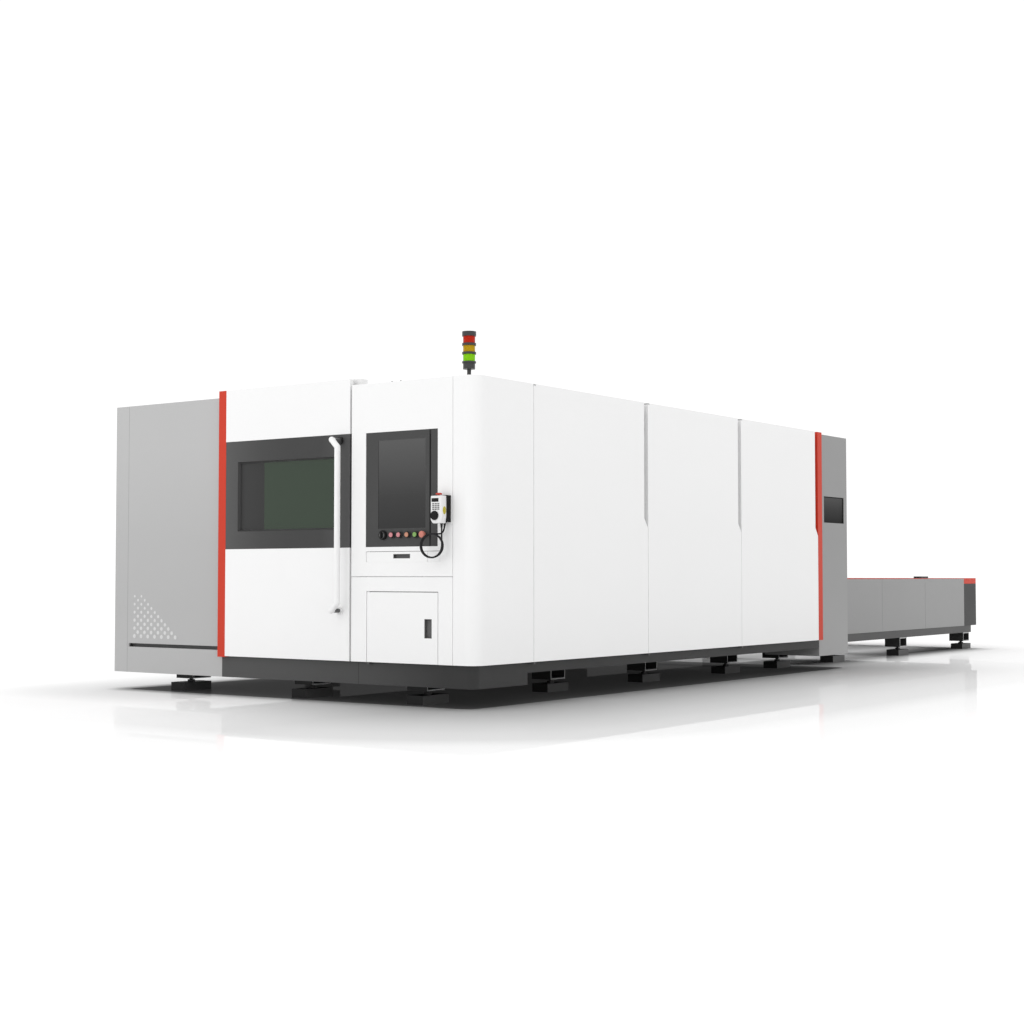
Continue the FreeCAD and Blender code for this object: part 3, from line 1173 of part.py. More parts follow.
def build_rear_cabinet():
    """Grey cabinets both sides of the pallet opening, the header between them and the lift gate."""
    y = (back("rear_start"), back("body_length"))
    z = ("cabinet_base", "cabinet_height")
    window_y = (back("rear_window_front"), back("rear_window_back"))
    window_z = ("rear_window_bottom", "rear_window_top")
    pillar = box("pillar_right", (bed("bed_half"), right("shell_step")), y, z)
    recess = box("window_recess", (right("shell_step + rear_window_recess"), right("0")), window_y, window_z)
    pillar_left = box("pillar_left", (left("shell_step"), bed("-bed_half")), y, z)
    keep("rear_cabinet", [cut("pillar_right_cut", pillar, recess), pillar_left])
    deep = "shell_step + rear_window_recess"
    keep("rear_window", box("rear_window", (right(deep), right(f"{deep} - glass")), window_y, window_z))
    x = (bed("-bed_half"), bed("bed_half"))
    wall = "shell_step"
    header = [
        box("header_front", x, (y[0], f"{y[0]} + {wall}"), ("header_bottom", f"cabinet_height - {wall}")),
        box("header_back", x, (f"{y[1]} - {wall}", y[1]), ("header_bottom", f"cabinet_height - {wall}")),
        box("header_top", x, y, (f"cabinet_height - {wall}", "cabinet_height")),
    ]
    keep("rear_cabinet", header)

    gate_y = (back("gate_front"), back("gate_front + gate_thick"))
    plate = box("gate_plate", (bed(f"-({GATE_HALF})"), bed(GATE_HALF)), gate_y,
                ("gate_bottom", "gate_bottom + gate_high"))
    arms = both_sides("gate_arm_bar", f"{GATE_HALF} - gate_arm", GATE_HALF, gate_y,
                      ("gate_bottom + gate_high", "gate_arm_top"))
    keep("lift_gate", joined("lift_gate", [plate] + arms))
    guide_y = (f"{gate_y[0]} - guide_lead", f"{y[1]} - {wall}")
    slot_y = (f"{gate_y[0]} - seat", f"{gate_y[1]} + seat")
    slots = both_sides("gate_guide_slot", f"{GATE_HALF} - guide_lap - 1", f"{GATE_HALF} + seat", slot_y,
                       ("header_bottom - 1", "cabinet_height"))
    guide_inner = f"{GATE_HALF} - guide_lap"
    blocks = both_sides("gate_guide_block", guide_inner, f"{guide_inner} + guide_wide", guide_y,
                        ("header_bottom", f"cabinet_height - {wall}"))
    for index, (block, slot) in enumerate(zip(blocks, slots)):
        keep("frame_tubes", cut(f"gate_guide_{index}", block, slot))


def build_table():
    """Exchange table: rails, posts, grey side panels, red trim and the dark end cover."""
    rail_inner = "bed_half - rail_thick"
    panel_outer = "bed_half + panel_lead"
    panel_inner = f"{panel_outer} - panel_thick"
    rail_y = (back("bed_back"), back("machine_length - rail_short"))
    frame = both_sides("table_rail", rail_inner, "bed_half", rail_y, ("bed_bottom", CROSS_TOP))
    post_z = (CROSS_TOP, "table_top - deck_thick")
    seams = ["table_seam_one", "table_seam_two", "table_seam_three"]
    middles = ["body_length + tube / 2"] + seams + [f"{COVER_START} - tube"]
    for index, middle in enumerate(middles):
        y = (back(f"{middle} - tube / 2"), back(f"{middle} + tube / 2"))
        frame += both_sides(f"table_post_{index}", f"{panel_inner} - tube", panel_inner, y, post_z)
    keep("bed_frame", frame)
    panels = []
    starts = ["body_length"] + [f"{name} + seam / 2" for name in seams]
    ends = [f"{name} - seam / 2" for name in seams] + [COVER_START]
    for index, (start, end) in enumerate(zip(starts, ends)):
        panels += both_sides(f"table_panel_{index}", panel_inner, panel_outer, (back(start), back(end)),
                             (CROSS_TOP, "table_top - trim_high"))
    keep("table_side_panels", panels)
    y = (back("body_length"), back(COVER_START))
    trim_z = ("table_top - trim_high", "table_top")
    keep("table_red_trim", both_sides("trim", panel_inner, panel_outer, y, trim_z))
    keep("table_side_panels", both_sides("deck", f"{panel_inner} - deck_width", panel_inner, y,
                                         ("table_top - deck_thick", "table_top")))
    x = (bed(f"-({panel_outer})"), bed(panel_outer))
    y = (back(COVER_START), back("machine_length"))
    keep("table_end_cover", box("end_cover", x, y, (CROSS_TOP, "cap_bottom")))
    keep("table_red_trim", box("end_cap", x, y, ("cap_bottom", "table_top")))
    x = (bed(f"{panel_inner} - drive_wide"), bed(panel_inner))
    y = (back("drive_front"), back("drive_back"))
    keep("table_end_cover", box("drive_box", x, y, ("table_top", "table_top + drive_high")))


def build_tracks():
    """Walls with two ledges a side, on which the pallets slide."""
    y = (back("track_front"), back(f"{COVER_START} - track_gap"))
    wall_z = (CROSS_TOP, "track_top")
    parts = both_sides("track_wall_plate", TRACK_INNER, BEAM_INNER, y, wall_z)
    for name in ("lower_ledge", "upper_ledge"):
        ledge_z = (f"{name} - ledge_thick", name)
        parts += both_sides(name, f"{TRACK_INNER} - ledge_wide", TRACK_INNER, y, ledge_z)
    keep("bed_rails", parts)


def build_pallet(name, start, ledge):
    """A pallet frame whose side bars are slotted like combs, and the toothed slats that stand in them."""
    bottom = f"{ledge} + seat"
    z = (bottom, f"{bottom} + pallet_high")
    y = (back(start), back(f"{start} + pallet_length"))
    ends = f"{PALLET_HALF} - pallet_bar"
    side_bars = both_sides(name + "_bar", ends, PALLET_HALF, y, z)
    bars = []
    for end, low in (("front", y[0]), ("back", f"{y[1]} - pallet_bar")):
        bars.append(box(f"{name}_bar_{end}", (bed(f"-({ends})"), bed(ends)), (low, f"{low} + pallet_bar"), z))
    count = int(value("slat_count"))
    reach = f"{ends} + slat_end"
    slots = []
    blades = []
    for index in range(count):
        middle = f"({y[0]} + pallet_length * {index + 1} / {count + 1})"
        x = (bed(f"-({reach})"), bed(reach))
        low = f"{bottom} + slat_bottom"
        blade_y = (f"{middle} - slat_thick / 2", f"{middle} + slat_thick / 2")
        slot_y = (f"{blade_y[0]} - slat_play", f"{blade_y[1]} + slat_play")
        slots.append(box(f"{name}_slot_{index}", x, slot_y, (low, f"{bottom} + pallet_high + 1")))
        blades.append(box(f"{name}_blade_{index}", x, blade_y, (low, f"{bottom} + slat_tip")))
    combs = group(name + "_slots", slots)
    bars += [cut(f"{name}_slotted_{index}", bar, combs) for index, bar in enumerate(side_bars)]
    keep(name + "_frame", bars)
    teeth = int(value("slat_teeth"))
    outline = [(bed(f"-({reach})"), f"{bottom} + slat_bottom"), (bed(reach), f"{bottom} + slat_bottom")]
    for index in range(teeth, 0, -1):
        valley = bed(f"({reach}) * {2 * index - teeth} / {teeth}")
        tip = bed(f"({reach}) * {2 * index - teeth - 1} / {teeth}")
        outline.append((valley, f"{bottom} + slat_shoulder"))
        outline.append((tip, f"{bottom} + slat_tip"))
    outline.append((bed(f"-({reach})"), f"{bottom} + slat_shoulder"))
    comb = prism(name + "_comb", "XZ", outline, y[0], "pallet_length")
    slats = doc.addObject("Part::MultiCommon", name + "_slats")
    slats.Shapes = [comb, group(name + "_blades", blades)]
    keep(name + "_slats", slats)


def build_gantry():
    """Rails on the bed, the travelling bridge, its carriage and the cutting head."""
    y = (back("gantry_rail_front"), back("gantry_rail_back"))
    rail_top = "bed_top + gantry_rail_high"
    keep("bed_rails", both_sides("gantry_rail", f"{GANTRY_RAIL_HALF} - gantry_rail_wide / 2",
                                 f"{GANTRY_RAIL_HALF} + gantry_rail_wide / 2", y, ("bed_top", rail_top)))
    middle = back("gantry_at")
    y = (f"{middle} - truck_length / 2", f"{middle} + truck_length / 2")
    reach = f"{GANTRY_RAIL_HALF} + truck_wide / 2"
    trucks = both_sides("truck", f"{GANTRY_RAIL_HALF} - truck_wide / 2", reach, y,
                        (f"{rail_top} + seat", "bridge_bottom"))
    bridge_y = (f"{middle} - bridge_length / 2", f"{middle} + bridge_length / 2")
    bridge = box("bridge", (bed(f"-({reach})"), bed(reach)), bridge_y, ("bridge_bottom", "bridge_top"))
    keep("gantry_bridge", trucks + [bridge])

    x = (bed("-carriage_wide / 2"), bed("carriage_wide / 2"))
    plate_y = f"{bridge_y[1]} + seat"
    lap_z = "bridge_top + seat"
    points = [
        (plate_y, "carriage_bottom"),
        (f"{plate_y} + carriage_plate", "carriage_bottom"),
        (f"{plate_y} + carriage_plate", f"{lap_z} + carriage_plate"),
        (f"{plate_y} - carriage_lap", f"{lap_z} + carriage_plate"),
        (f"{plate_y} - carriage_lap", lap_z),
        (plate_y, lap_z),
    ]
    keep("head_carriage", prism("head_carriage", "YZ", points, x[0], "carriage_wide"))
    head_y = f"{plate_y} + carriage_plate + seat"
    head_x = (bed("-head_wide / 2"), bed("head_wide / 2"))
    block = box("head_block", head_x, (head_y, f"{head_y} + head_wide"), ("head_bottom", "head_top"))
    nozzle = doc.addObject("Part::Cone", "head_nozzle")
    bind(nozzle, "Radius1", "nozzle_end")
    bind(nozzle, "Radius2", "nozzle_radius")
    bind(nozzle, "Height", "head_bottom - nozzle_tip")
    place(nozzle, bed("0"), f"{head_y} + head_wide / 2", "nozzle_tip")
    keep("cutting_head", joined("cutting_head", [block, nozzle]))


def build_tower():
    """Signal tower on the roof."""
    def ring(name, radius, low, high):
        return round_bar(name, "z", radius, right("tower_at"), back("tower_back"), low, f"({high}) - ({low})")

    base = [
        ring("tower_pole_bar", "tower_pole", ROOF_Z[1], "tower_base"),
        ring("tower_base_block", "tower_radius", "tower_base", "tower_ring_one"),
        ring("tower_ring_low", "tower_ring", "tower_ring_one", "tower_green"),
    ]
    keep("tower_stand", joined("tower_base_part", base))
    rings = [
        ring("tower_ring_middle", "tower_ring", "tower_ring_two", "tower_amber"),
        ring("tower_ring_high", "tower_ring", "tower_ring_three", "tower_red"),
        ring("tower_cap_disc", "tower_ring", "tower_cap", "tower_top"),
    ]
    keep("tower_stand", rings)
    keep("lens_green", ring("lens_green", "tower_radius", "tower_green", "tower_ring_two"))
    keep("lens_amber", ring("lens_amber", "tower_radius", "tower_amber", "tower_ring_three"))
    keep("lens_red", ring("lens_red", "tower_radius", "tower_red", "tower_cap"))


def check_and_export():
    """Stop on anything broken, then write one file for each sub-part."""
    finished = [group(name, parts) if len(parts) > 1 else parts[0] for name, parts in nodes.items()]
    doc.recompute()
    for item in doc.Objects:
        if any(word in item.State for word in ("Invalid", "Error")):
            raise RuntimeError(f"{item.Label} did not build: {item.State}")
    whole = FreeCAD.BoundBox()
    for name, part in zip(nodes, finished):
        shape = part.Shape
        if part.Label != name or shape.isNull() or not shape.isValid() or shape.Volume <= 0:
            raise RuntimeError(f"{name}, labelled {part.Label}, has no valid shape")
        shape.exportStep(f"parts/{part.Label}.step")
        whole.add(shape.BoundBox)
    print(f"{len(finished)} sub-parts, x {whole.XMin:.1f} to {whole.XMax:.1f}, y {whole.YMin:.1f} to "
          f"{whole.YMax:.1f}, z {whole.ZMin:.1f} to {whole.ZMax:.1f} mm")


fill_sheet()
build_feet()
build_bed()
build_plinth()
build_frame()
build_roof()
build_corner_shell()
build_console()
build_operating_panel()
build_drawer()
build_lower_door()
build_pendant()
build_cable()
build_sliding_door()
build_handle()
build_grey_front()
build_sides()
build_rear_cabinet()
build_table()
build_tracks()
build_pallet("pallet_upper", f"{COVER_START} - pallet_gap - pallet_length", "upper_ledge")
build_pallet("pallet_lower", "lower_start", "lower_ledge")
build_gantry()
build_tower()
check_and_export()
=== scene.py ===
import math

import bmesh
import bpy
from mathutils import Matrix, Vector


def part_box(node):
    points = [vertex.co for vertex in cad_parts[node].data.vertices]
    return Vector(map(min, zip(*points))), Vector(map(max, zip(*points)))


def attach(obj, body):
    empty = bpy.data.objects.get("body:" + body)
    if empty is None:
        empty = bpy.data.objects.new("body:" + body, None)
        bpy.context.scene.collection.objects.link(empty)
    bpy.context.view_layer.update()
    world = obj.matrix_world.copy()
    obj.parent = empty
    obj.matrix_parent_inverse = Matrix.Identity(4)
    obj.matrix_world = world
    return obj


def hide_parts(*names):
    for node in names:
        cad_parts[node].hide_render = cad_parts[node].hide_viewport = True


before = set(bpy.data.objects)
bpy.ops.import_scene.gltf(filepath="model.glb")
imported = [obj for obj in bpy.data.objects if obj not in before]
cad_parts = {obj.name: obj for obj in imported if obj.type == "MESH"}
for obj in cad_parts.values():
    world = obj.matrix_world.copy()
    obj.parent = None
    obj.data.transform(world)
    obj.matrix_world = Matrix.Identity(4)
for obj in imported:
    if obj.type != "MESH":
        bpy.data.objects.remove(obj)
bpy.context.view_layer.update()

# %% [markdown]
# # A fiber laser cutting machine
# A white sheet-metal cabin stands on dark feet, with a sliding door, a
# control console and a long pallet table behind it. The whole machine is a
# little over eleven metres long.
# The metal shapes come from the CAD model. This notebook gives them their
# surfaces, adds the small things that CAD leaves out, and lights the picture.
# All lengths are in metres. The door faces minus Y, and the table lies in plus Y.

# %% [markdown]
# The small pieces were measured from two planes: the machine's outer right
# side and the front of its white shell. Their places could be plain
# coordinates, but such numbers hide where they were measured from. Two short
# functions keep the measurements readable, and the pieces follow the shell.

# %% Places measured from the right side and from the front
SHELL_LOW, SHELL_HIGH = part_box("corner_shell")


def across(distance):
    """x of a place this far to the left of the outer right side."""
    return SHELL_HIGH[0] - distance


def behind(distance):
    """y of a place this far behind the front of the shell."""
    return SHELL_LOW[1] + distance


print("right side at x", round(across(0.0), 3), "and shell front at y", round(behind(0.0), 4))

# %% [markdown]
# ## Camera
# The camera stands low and far back, as in the product photograph, so that
# upright edges stay upright. It could be aimed with a Track To constraint.
# Plain numbers are used, because they were found by fitting the edges of the
# machine to the photograph. The Standard view shows the studio white as white.

# %% Camera
camera_data = bpy.data.cameras.new("main_camera")
camera_data.lens = 56.206
camera_data.sensor_width = 36.0
camera = bpy.data.objects.new("main_camera", camera_data)
bpy.context.collection.objects.link(camera)
camera.location = (8.236, -14.0514, 0.90215)
camera.rotation_euler = (math.radians(92.276), 0.0, math.radians(35.745))
bpy.context.scene.camera = camera
bpy.context.scene.view_settings.view_transform = "Standard"
front_corner = Vector((across(0.0), behind(0.0), 1.0))
print("camera is", round((camera.location - front_corner).length, 2), "m away")

# %% [markdown]
# ## Surfaces
# Every surface is built from nodes and has no picture behind it. A picture
# would need unwrapped meshes, while nodes work on any shape. The patterns
# read Object coordinates, which stay with a part when it moves.

# %% A new material and a noise
def new_material(name):
    """An empty node material with its shader, ready for links."""
    material = bpy.data.materials.new(name)
    material.use_nodes = True
    tree = material.node_tree
    return material, tree, tree.nodes["Principled BSDF"]


def object_noise(tree, scale, detail):
    """A noise between 0 and 1, fixed to the object's own coordinates."""
    place = tree.nodes.new("ShaderNodeTexCoord")
    noise = tree.nodes.new("ShaderNodeTexNoise")
    noise.inputs["Scale"].default_value = scale
    noise.inputs["Detail"].default_value = detail
    tree.links.new(place.outputs["Object"], noise.inputs["Vector"])
    return noise.outputs["Fac"]


print("helpers for materials are ready")

# %% [markdown]
# No real surface is quite even: paint, plastic and glass all have lighter and
# darker, duller and shinier patches. One colour and one roughness would look
# like a drawing. So nearly every material here mixes two close tones by a
# noise, and lets its roughness wander between two values.

# %% Uneven tone and gloss
def mixed(tree, share, first, second, blend="MIX"):
    """Mixes two tones. Each may be a colour, or a socket that gives one."""
    tone = tree.nodes.new("ShaderNodeMix")
    tone.data_type = "RGBA"
    tone.blend_type = blend
    sockets = (tone.inputs["Factor"], tone.inputs[6], tone.inputs[7])
    for socket, value in zip(sockets, (share, first, second)):
        if isinstance(value, bpy.types.NodeSocket):
            tree.links.new(value, socket)
        elif isinstance(value, float):
            socket.default_value = value
        else:
            socket.default_value = (*value, 1.0)
    return tone.outputs[2]


def patchy(tree, noise, colour, share):
    """A colour that drops to a share of itself where the noise is low."""
    return mixed(tree, noise, [share * part for part in colour], colour)


def uneven_gloss(tree, shader, noise, low, high):
    """Lets the roughness wander between two values, as the noise does."""
    span = tree.nodes.new("ShaderNodeMapRange")
    span.inputs["To Min"].default_value = low
    span.inputs["To Max"].default_value = high
    tree.links.new(noise, span.inputs["Value"])
    tree.links.new(span.outputs["Result"], shader.inputs["Roughness"])


print("tone and gloss can wander")

# %% [markdown]
# ### Tones that change along an axis
# The light in the photograph isn't even over so long a machine. Many lamps
# could copy that, but each would light the parts beside it too. It is simpler
# to let a paint darken along an axis. A shade is an axis, where it starts and
# ends, and a list of stops: how far along, and how bright.

# %% Shades along an axis
def along(tree, axis):
    """The place on the object along one axis, in metres."""
    place = tree.nodes.new("ShaderNodeTexCoord")
    parts = tree.nodes.new("ShaderNodeSeparateXYZ")
    tree.links.new(place.outputs["Object"], parts.inputs["Vector"])
    return parts.outputs[axis]


def stepped(tree, source, low, high, stops):
    """A grey tone that passes through the stops, each a share of the way from
    low to high and a tone between 0 and 1."""
    share = tree.nodes.new("ShaderNodeMapRange")
    share.inputs["From Min"].default_value = low
    share.inputs["From Max"].default_value = high
    ramp = tree.nodes.new("ShaderNodeValToRGB")
    tree.links.new(source, share.inputs["Value"])
    tree.links.new(share.outputs["Result"], ramp.inputs["Fac"])
    marks = ramp.color_ramp.elements
    while len(marks) < len(stops):
        marks.new(0.5)
    for mark, (position, tone) in zip(marks, stops):
        mark.position = position
        mark.color = (tone, tone, tone, 1.0)
    return ramp.outputs["Color"]


def shaded(tree, tone, shades):
    """Darkens a tone by every shade: an axis, its low and high end and stops."""
    for axis, low, high, stops in shades:
        shade = stepped(tree, along(tree, axis), low, high, stops)
        tone = mixed(tree, 1.0, tone, shade, "MULTIPLY")
    return tone


print("paints can darken along X, Y and Z")

# %% [markdown]
# ### Powder coat
# The cabin is sheet steel with a powder coat, which has a very fine texture
# like orange peel. Real bumps that small would need millions of faces. A Bump
# node only tilts the light on a flat face, and the eye takes it for grain.

# %% Powder coat
PEEL_DEPTH = 0.00003


def add_bump(tree, shader, source, depth):
    """Seems to raise the surface by the pattern, at most depth metres."""
    bump = tree.nodes.new("ShaderNodeBump")
    bump.inputs["Strength"].default_value = 1.0
    bump.inputs["Distance"].default_value = depth
    tree.links.new(source, bump.inputs["Height"])
    tree.links.new(bump.outputs["Normal"], shader.inputs["Normal"])


def painted(name, colour, roughness=0.42, shine=0.4, shades=()):
    """Powder-coated sheet metal with faint changes of tone and gloss."""
    material, tree, shader = new_material(name)
    clouds = object_noise(tree, scale=1.3, detail=3.0)
    tone = shaded(tree, patchy(tree, clouds, colour, 0.975), shades)
    tree.links.new(tone, shader.inputs["Base Color"])
    uneven_gloss(tree, shader, clouds, roughness * 0.85, roughness * 1.15)
    add_bump(tree, shader, object_noise(tree, scale=900.0, detail=2.0), PEEL_DEPTH)
    shader.inputs["Specular IOR Level"].default_value = shine
    return material


print("powder coat is", round(PEEL_DEPTH * 1e6), "micrometres rough")

# %% [markdown]
# ### Plastic
# Switches, buttons and the pendant are moulded plastic, with a finer grain
# than paint. Some buttons are glossy, so they get a clear coat: a second,
# smooth layer over the grain.

# %% Plastic
GRAIN_DEPTH = 0.00002


def moulded(name, colour, roughness=0.5, shine=0.3, coat=0.0):
    """Plastic with a fine moulded grain."""
    material, tree, shader = new_material(name)
    patches = object_noise(tree, scale=9.0, detail=3.0)
    tree.links.new(patchy(tree, patches, colour, 0.9), shader.inputs["Base Color"])
    uneven_gloss(tree, shader, patches, roughness * 0.85, roughness * 1.15)
    add_bump(tree, shader, object_noise(tree, scale=2200.0, detail=2.0), GRAIN_DEPTH)
    shader.inputs["Specular IOR Level"].default_value = shine
    shader.inputs["Coat Weight"].default_value = coat
    return material


print("plastic is", round(GRAIN_DEPTH * 1e6), "micrometres rough")

# %% [markdown]
# ### Bare metal
# Rails, slats and the cutting head are bare metal, which milling and rolling
# leave with short marks. The Anisotropic setting stretches a metal's gloss,
# but draws no marks. Here they are a noise, squeezed much more along Z than
# along X and Y.

# %% Bare metal
BRUSH_SCALE = (40.0, 40.0, 1200.0)


def metallic(name, colour, roughness=0.35):
    """Machined steel or aluminium with short brushed marks."""
    material, tree, shader = new_material(name)
    place = tree.nodes.new("ShaderNodeTexCoord")
    stretch = tree.nodes.new("ShaderNodeMapping")
    stretch.inputs["Scale"].default_value = BRUSH_SCALE
    marks = tree.nodes.new("ShaderNodeTexNoise")
    marks.inputs["Scale"].default_value = 1.0
    tree.links.new(place.outputs["Object"], stretch.inputs["Vector"])
    tree.links.new(stretch.outputs["Vector"], marks.inputs["Vector"])
    stains = object_noise(tree, scale=5.0, detail=5.0)
    tree.links.new(patchy(tree, stains, colour, 0.85), shader.inputs["Base Color"])
    shader.inputs["Metallic"].default_value = 1.0
    brushing = marks.outputs["Fac"]
    uneven_gloss(tree, shader, brushing, roughness * 0.75, roughness * 1.3)
    add_bump(tree, shader, brushing, GRAIN_DEPTH)
    return material


print("marks are", 1000.0 / BRUSH_SCALE[0], "mm long or less")

# %% [markdown]
# ### Steps and lines of tone
# Two shades come up often. One is a step, as on the handle, whose back lies in
# shadow. The other is a dark upright line, such as the seam of the grey front.
# A seam could be cut into the metal. Painted, it looks the same from here, and
# the CAD part stays as it is.

# %% Steps and lines of tone
def grey(tone):
    """A colour without any hue."""
    return (tone, tone, tone)


def tone_step(axis, place, blur, low_tone, high_tone):
    """A shade that goes from one tone to another at a place on an axis."""
    return (axis, place - blur, place + blur, [(0.0, low_tone), (1.0, high_tone)])


def dark_line(place, core, rim, tone):
    """A dark upright line at x = place, with the half widths of its core and rim."""
    fade = 0.5 - 0.5 * core / rim
    stops = [(0.0, 1.0), (fade, tone), (1.0 - fade, tone), (1.0, 1.0)]
    return ("X", place - rim, place + rim, stops)


print("a step from white to black is", tone_step("Z", 0.0, 0.001, 1.0, 0.0))

# %% [markdown]
# ### The machine's paints
# The cabin is white, with a grey section at its left front, a grey cabinet at
# its rear and thin red strips between them. The tones were found by laying
# renders beside the photograph. The door's hangers and the roses of its handle
# are one CAD part, which is black above and white below, so it gets a step of
# tone instead of two materials.

# %% White, grey and red paints
WHITE_FOOT, GREY_FOOT = 0.27, 0.14
WHITE_TOP, GREY_TOP = 2.3, 2.2
SHELL_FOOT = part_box("side_door_1")[0][2]
HANDLE_BACK = behind(-0.069)
BETWEEN_ROSES = 1.1
FRONT_SEAM = across(3.491)

# The white is painted a little lighter low down and darker higher up, as painted light thrown up by
# the floor.
WHITE = painted("white_powder_coat", grey(0.875), shades=[
    ("Z", WHITE_FOOT, WHITE_TOP, [(0.0, 1.0), (0.5, 0.965), (1.0, 0.965)]),
])
# The handle's posts behind its tube are painted dark, as painted shade.
HANDLE = painted("white_handle_paint", grey(0.852), roughness=0.3, shades=[
    tone_step("Y", HANDLE_BACK, 0.002, 1.0, 0.12),
])
ROSE = painted("handle_rose_paint", grey(0.8), shades=[
    tone_step("Z", BETWEEN_ROSES, 0.1, 1.0, 0.02),
])
# The grey front's Z shade is painted uneven light: darker in its lower half, lightest near its top.
# Its seam line is a dark joint.
GREY = painted("light_grey_powder_coat", grey(0.455), shades=[
    ("Z", GREY_FOOT, GREY_TOP, [(0.0, 0.98), (0.25, 0.92), (0.5, 0.93), (0.85, 1.0)]),
    dark_line(FRONT_SEAM, 0.0024, 0.0032, 0.72),
])
# The rear cabinet is painted lighter towards its foot, as painted light thrown up by the floor.
CABINET_GREY = painted("cabinet_grey_powder_coat", grey(0.33), shades=[
    ("Z", GREY_FOOT, WHITE_TOP, [(0.0, 1.0), (0.3, 0.85), (0.5, 0.79), (1.0, 0.79)]),
])
TABLE_GREY = painted("table_grey_powder_coat", grey(0.265))
TUBE_GREY = painted("frame_tube_grey", grey(0.43), roughness=0.5, shades=[
    tone_step("Z", SHELL_FOOT, 0.001, 0.17, 1.0),
])
RED = painted("red_powder_coat", (0.56, 0.05, 0.027), shine=0.12)
DOT = painted("light_dot_paint", grey(0.62))
print("frame tubes are dark below z", round(SHELL_FOOT, 3))

# %% [markdown]
# The dark parts get their own paints: the bed and the plinth below the cabin,
# the band around the door's window, and the panel with the buttons. Their
# shades copy the uneven light on the plinth and the band, and the shadow in a
# deep groove of the panel, which is painted as a dark line.

# %% Dark paints
PLINTH_LOW, PLINTH_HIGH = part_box("plinth")
BAND_LOW, BAND_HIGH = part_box("door_band")
PLINTH_SEAM = across(1.062)
BAND_RECESS = behind(0.014)
PANEL_GROOVE = across(0.389)

DARK = painted("anthracite_powder_coat", grey(0.07), roughness=0.5)
END_GREY = painted("end_cover_grey", grey(0.034), roughness=0.5, shine=0.25)
BED_GREY = painted("bed_paint", grey(0.075), roughness=0.5, shine=0.25)
PLINTH = painted("plinth_paint", grey(0.078), roughness=0.5, shine=0.3, shades=[
    ("X", PLINTH_LOW[0], PLINTH_HIGH[0],
     [(0.0, 1.0), (0.45, 0.9), (0.75, 0.7), (0.93, 0.34), (1.0, 0.34)]),
    dark_line(PLINTH_SEAM, 0.0026, 0.0036, 0.5),
])
BAND = painted("window_band_grey", grey(0.082), shine=0.25, shades=[
    ("X", BAND_LOW[0], BAND_HIGH[0],
     [(0.0, 1.0), (0.1, 0.85), (0.3, 0.62), (0.5, 0.53), (0.78, 0.53), (1.0, 0.9)]),
    tone_step("Y", BAND_RECESS, 0.004, 1.0, 0.52),
])
# The dark line on the panel is a painted shadow of its groove.
PANEL_GREY = painted("operating_panel_grey", grey(0.052), shine=0.25, shades=[
    dark_line(PANEL_GROOVE, 0.0068, 0.0084, 0.15),
])
print("plinth fades over", round(PLINTH_HIGH[0] - PLINTH_LOW[0], 2), "m")

# %% [markdown]
# ### Plastics and metals of the machine
# Stop buttons are red, and yellow marks the enabling button. The panel's
# buttons look pale in the photograph, as translucent caps do, so their colours
# are pale too. Letting light through them would cost time and show little.

# %% Plastics, metals and the colours of the buttons
BLACK = moulded("matt_black_plastic", grey(0.01), shine=0.15)
TOWER_GREY = moulded("tower_grey_plastic", grey(0.045), roughness=0.3)
GRIP_GREY = moulded("grip_grey_plastic", grey(0.12))
PENDANT = moulded("pendant_white_plastic", grey(0.8), roughness=0.4)
KEYS = moulded("keypad_grey_rubber", grey(0.2), roughness=0.6)
STEEL = metallic("bright_steel", (0.62, 0.63, 0.65))
ALUMINIUM = metallic("anodised_aluminium", (0.78, 0.79, 0.8), roughness=0.4)
BARREL = metallic("key_barrel_metal", grey(0.2), roughness=0.3)
BUTTON_RED = moulded("button_red", (0.58, 0.23, 0.25), roughness=0.25, coat=0.3)
BUTTON_ORANGE = moulded("button_orange", (0.52, 0.24, 0.155), roughness=0.25, coat=0.3)
BUTTON_GREEN = moulded("button_green", (0.2, 0.38, 0.1), roughness=0.25, coat=0.3)
STOP_RED = moulded("stop_red", (0.6, 0.21, 0.165), roughness=0.35)
PENDANT_RED = moulded("pendant_stop_red", (0.5, 0.05, 0.03), roughness=0.35)
YELLOW = moulded("button_yellow", (0.5, 0.43, 0.05), roughness=0.35)
print("the plastics and metals are ready")

# %% [markdown]
# ### Feet and foot brackets
# The machine stands on sawn square tubes with levelling feet. In the
# photograph they are lit from the side, so their side faces are much lighter
# than their front faces. A lamp below the cabin could do that, but it would
# light the floor too. Here the tone follows the way a face points.

# %% Feet and foot brackets
def size_of(tree, source):
    """The size of a value, whatever its sign."""
    node = tree.nodes.new("ShaderNodeMath")
    node.operation = "ABSOLUTE"
    tree.links.new(source, node.inputs[0])
    return node.outputs["Value"]


def lit_from_side(name, front, side):
    """Painted steel with one tone on its front and another on its sides."""
    material, tree, shader = new_material(name)
    place = tree.nodes.new("ShaderNodeTexCoord")
    parts = tree.nodes.new("ShaderNodeSeparateXYZ")
    tree.links.new(place.outputs["Normal"], parts.inputs["Vector"])
    facing = stepped(tree, size_of(tree, parts.outputs["X"]), 0.0, 1.0, [(0.8, 0.0), (0.9, 1.0)])
    clouds = object_noise(tree, scale=6.0, detail=3.0)
    tone = mixed(tree, facing, patchy(tree, clouds, front, 0.9), side)
    tree.links.new(tone, shader.inputs["Base Color"])
    uneven_gloss(tree, shader, clouds, low=0.42, high=0.58)
    shader.inputs["Specular IOR Level"].default_value = 0.2
    return material


BRACKET = lit_from_side("foot_bracket_paint", grey(0.03), grey(0.5))
FOOT = lit_from_side("levelling_foot_paint", grey(0.02), grey(0.1))
print("feet and brackets have two tones")

# %% [markdown]
# ### Rubber
# The pendant's cable has a rubber sheath. Rubber is dull because it scatters
# light and gathers dust, so the noise here is dust: where it is high, the
# black turns a little lighter.

# %% Cable rubber
SHEATH_DEPTH = 0.00004


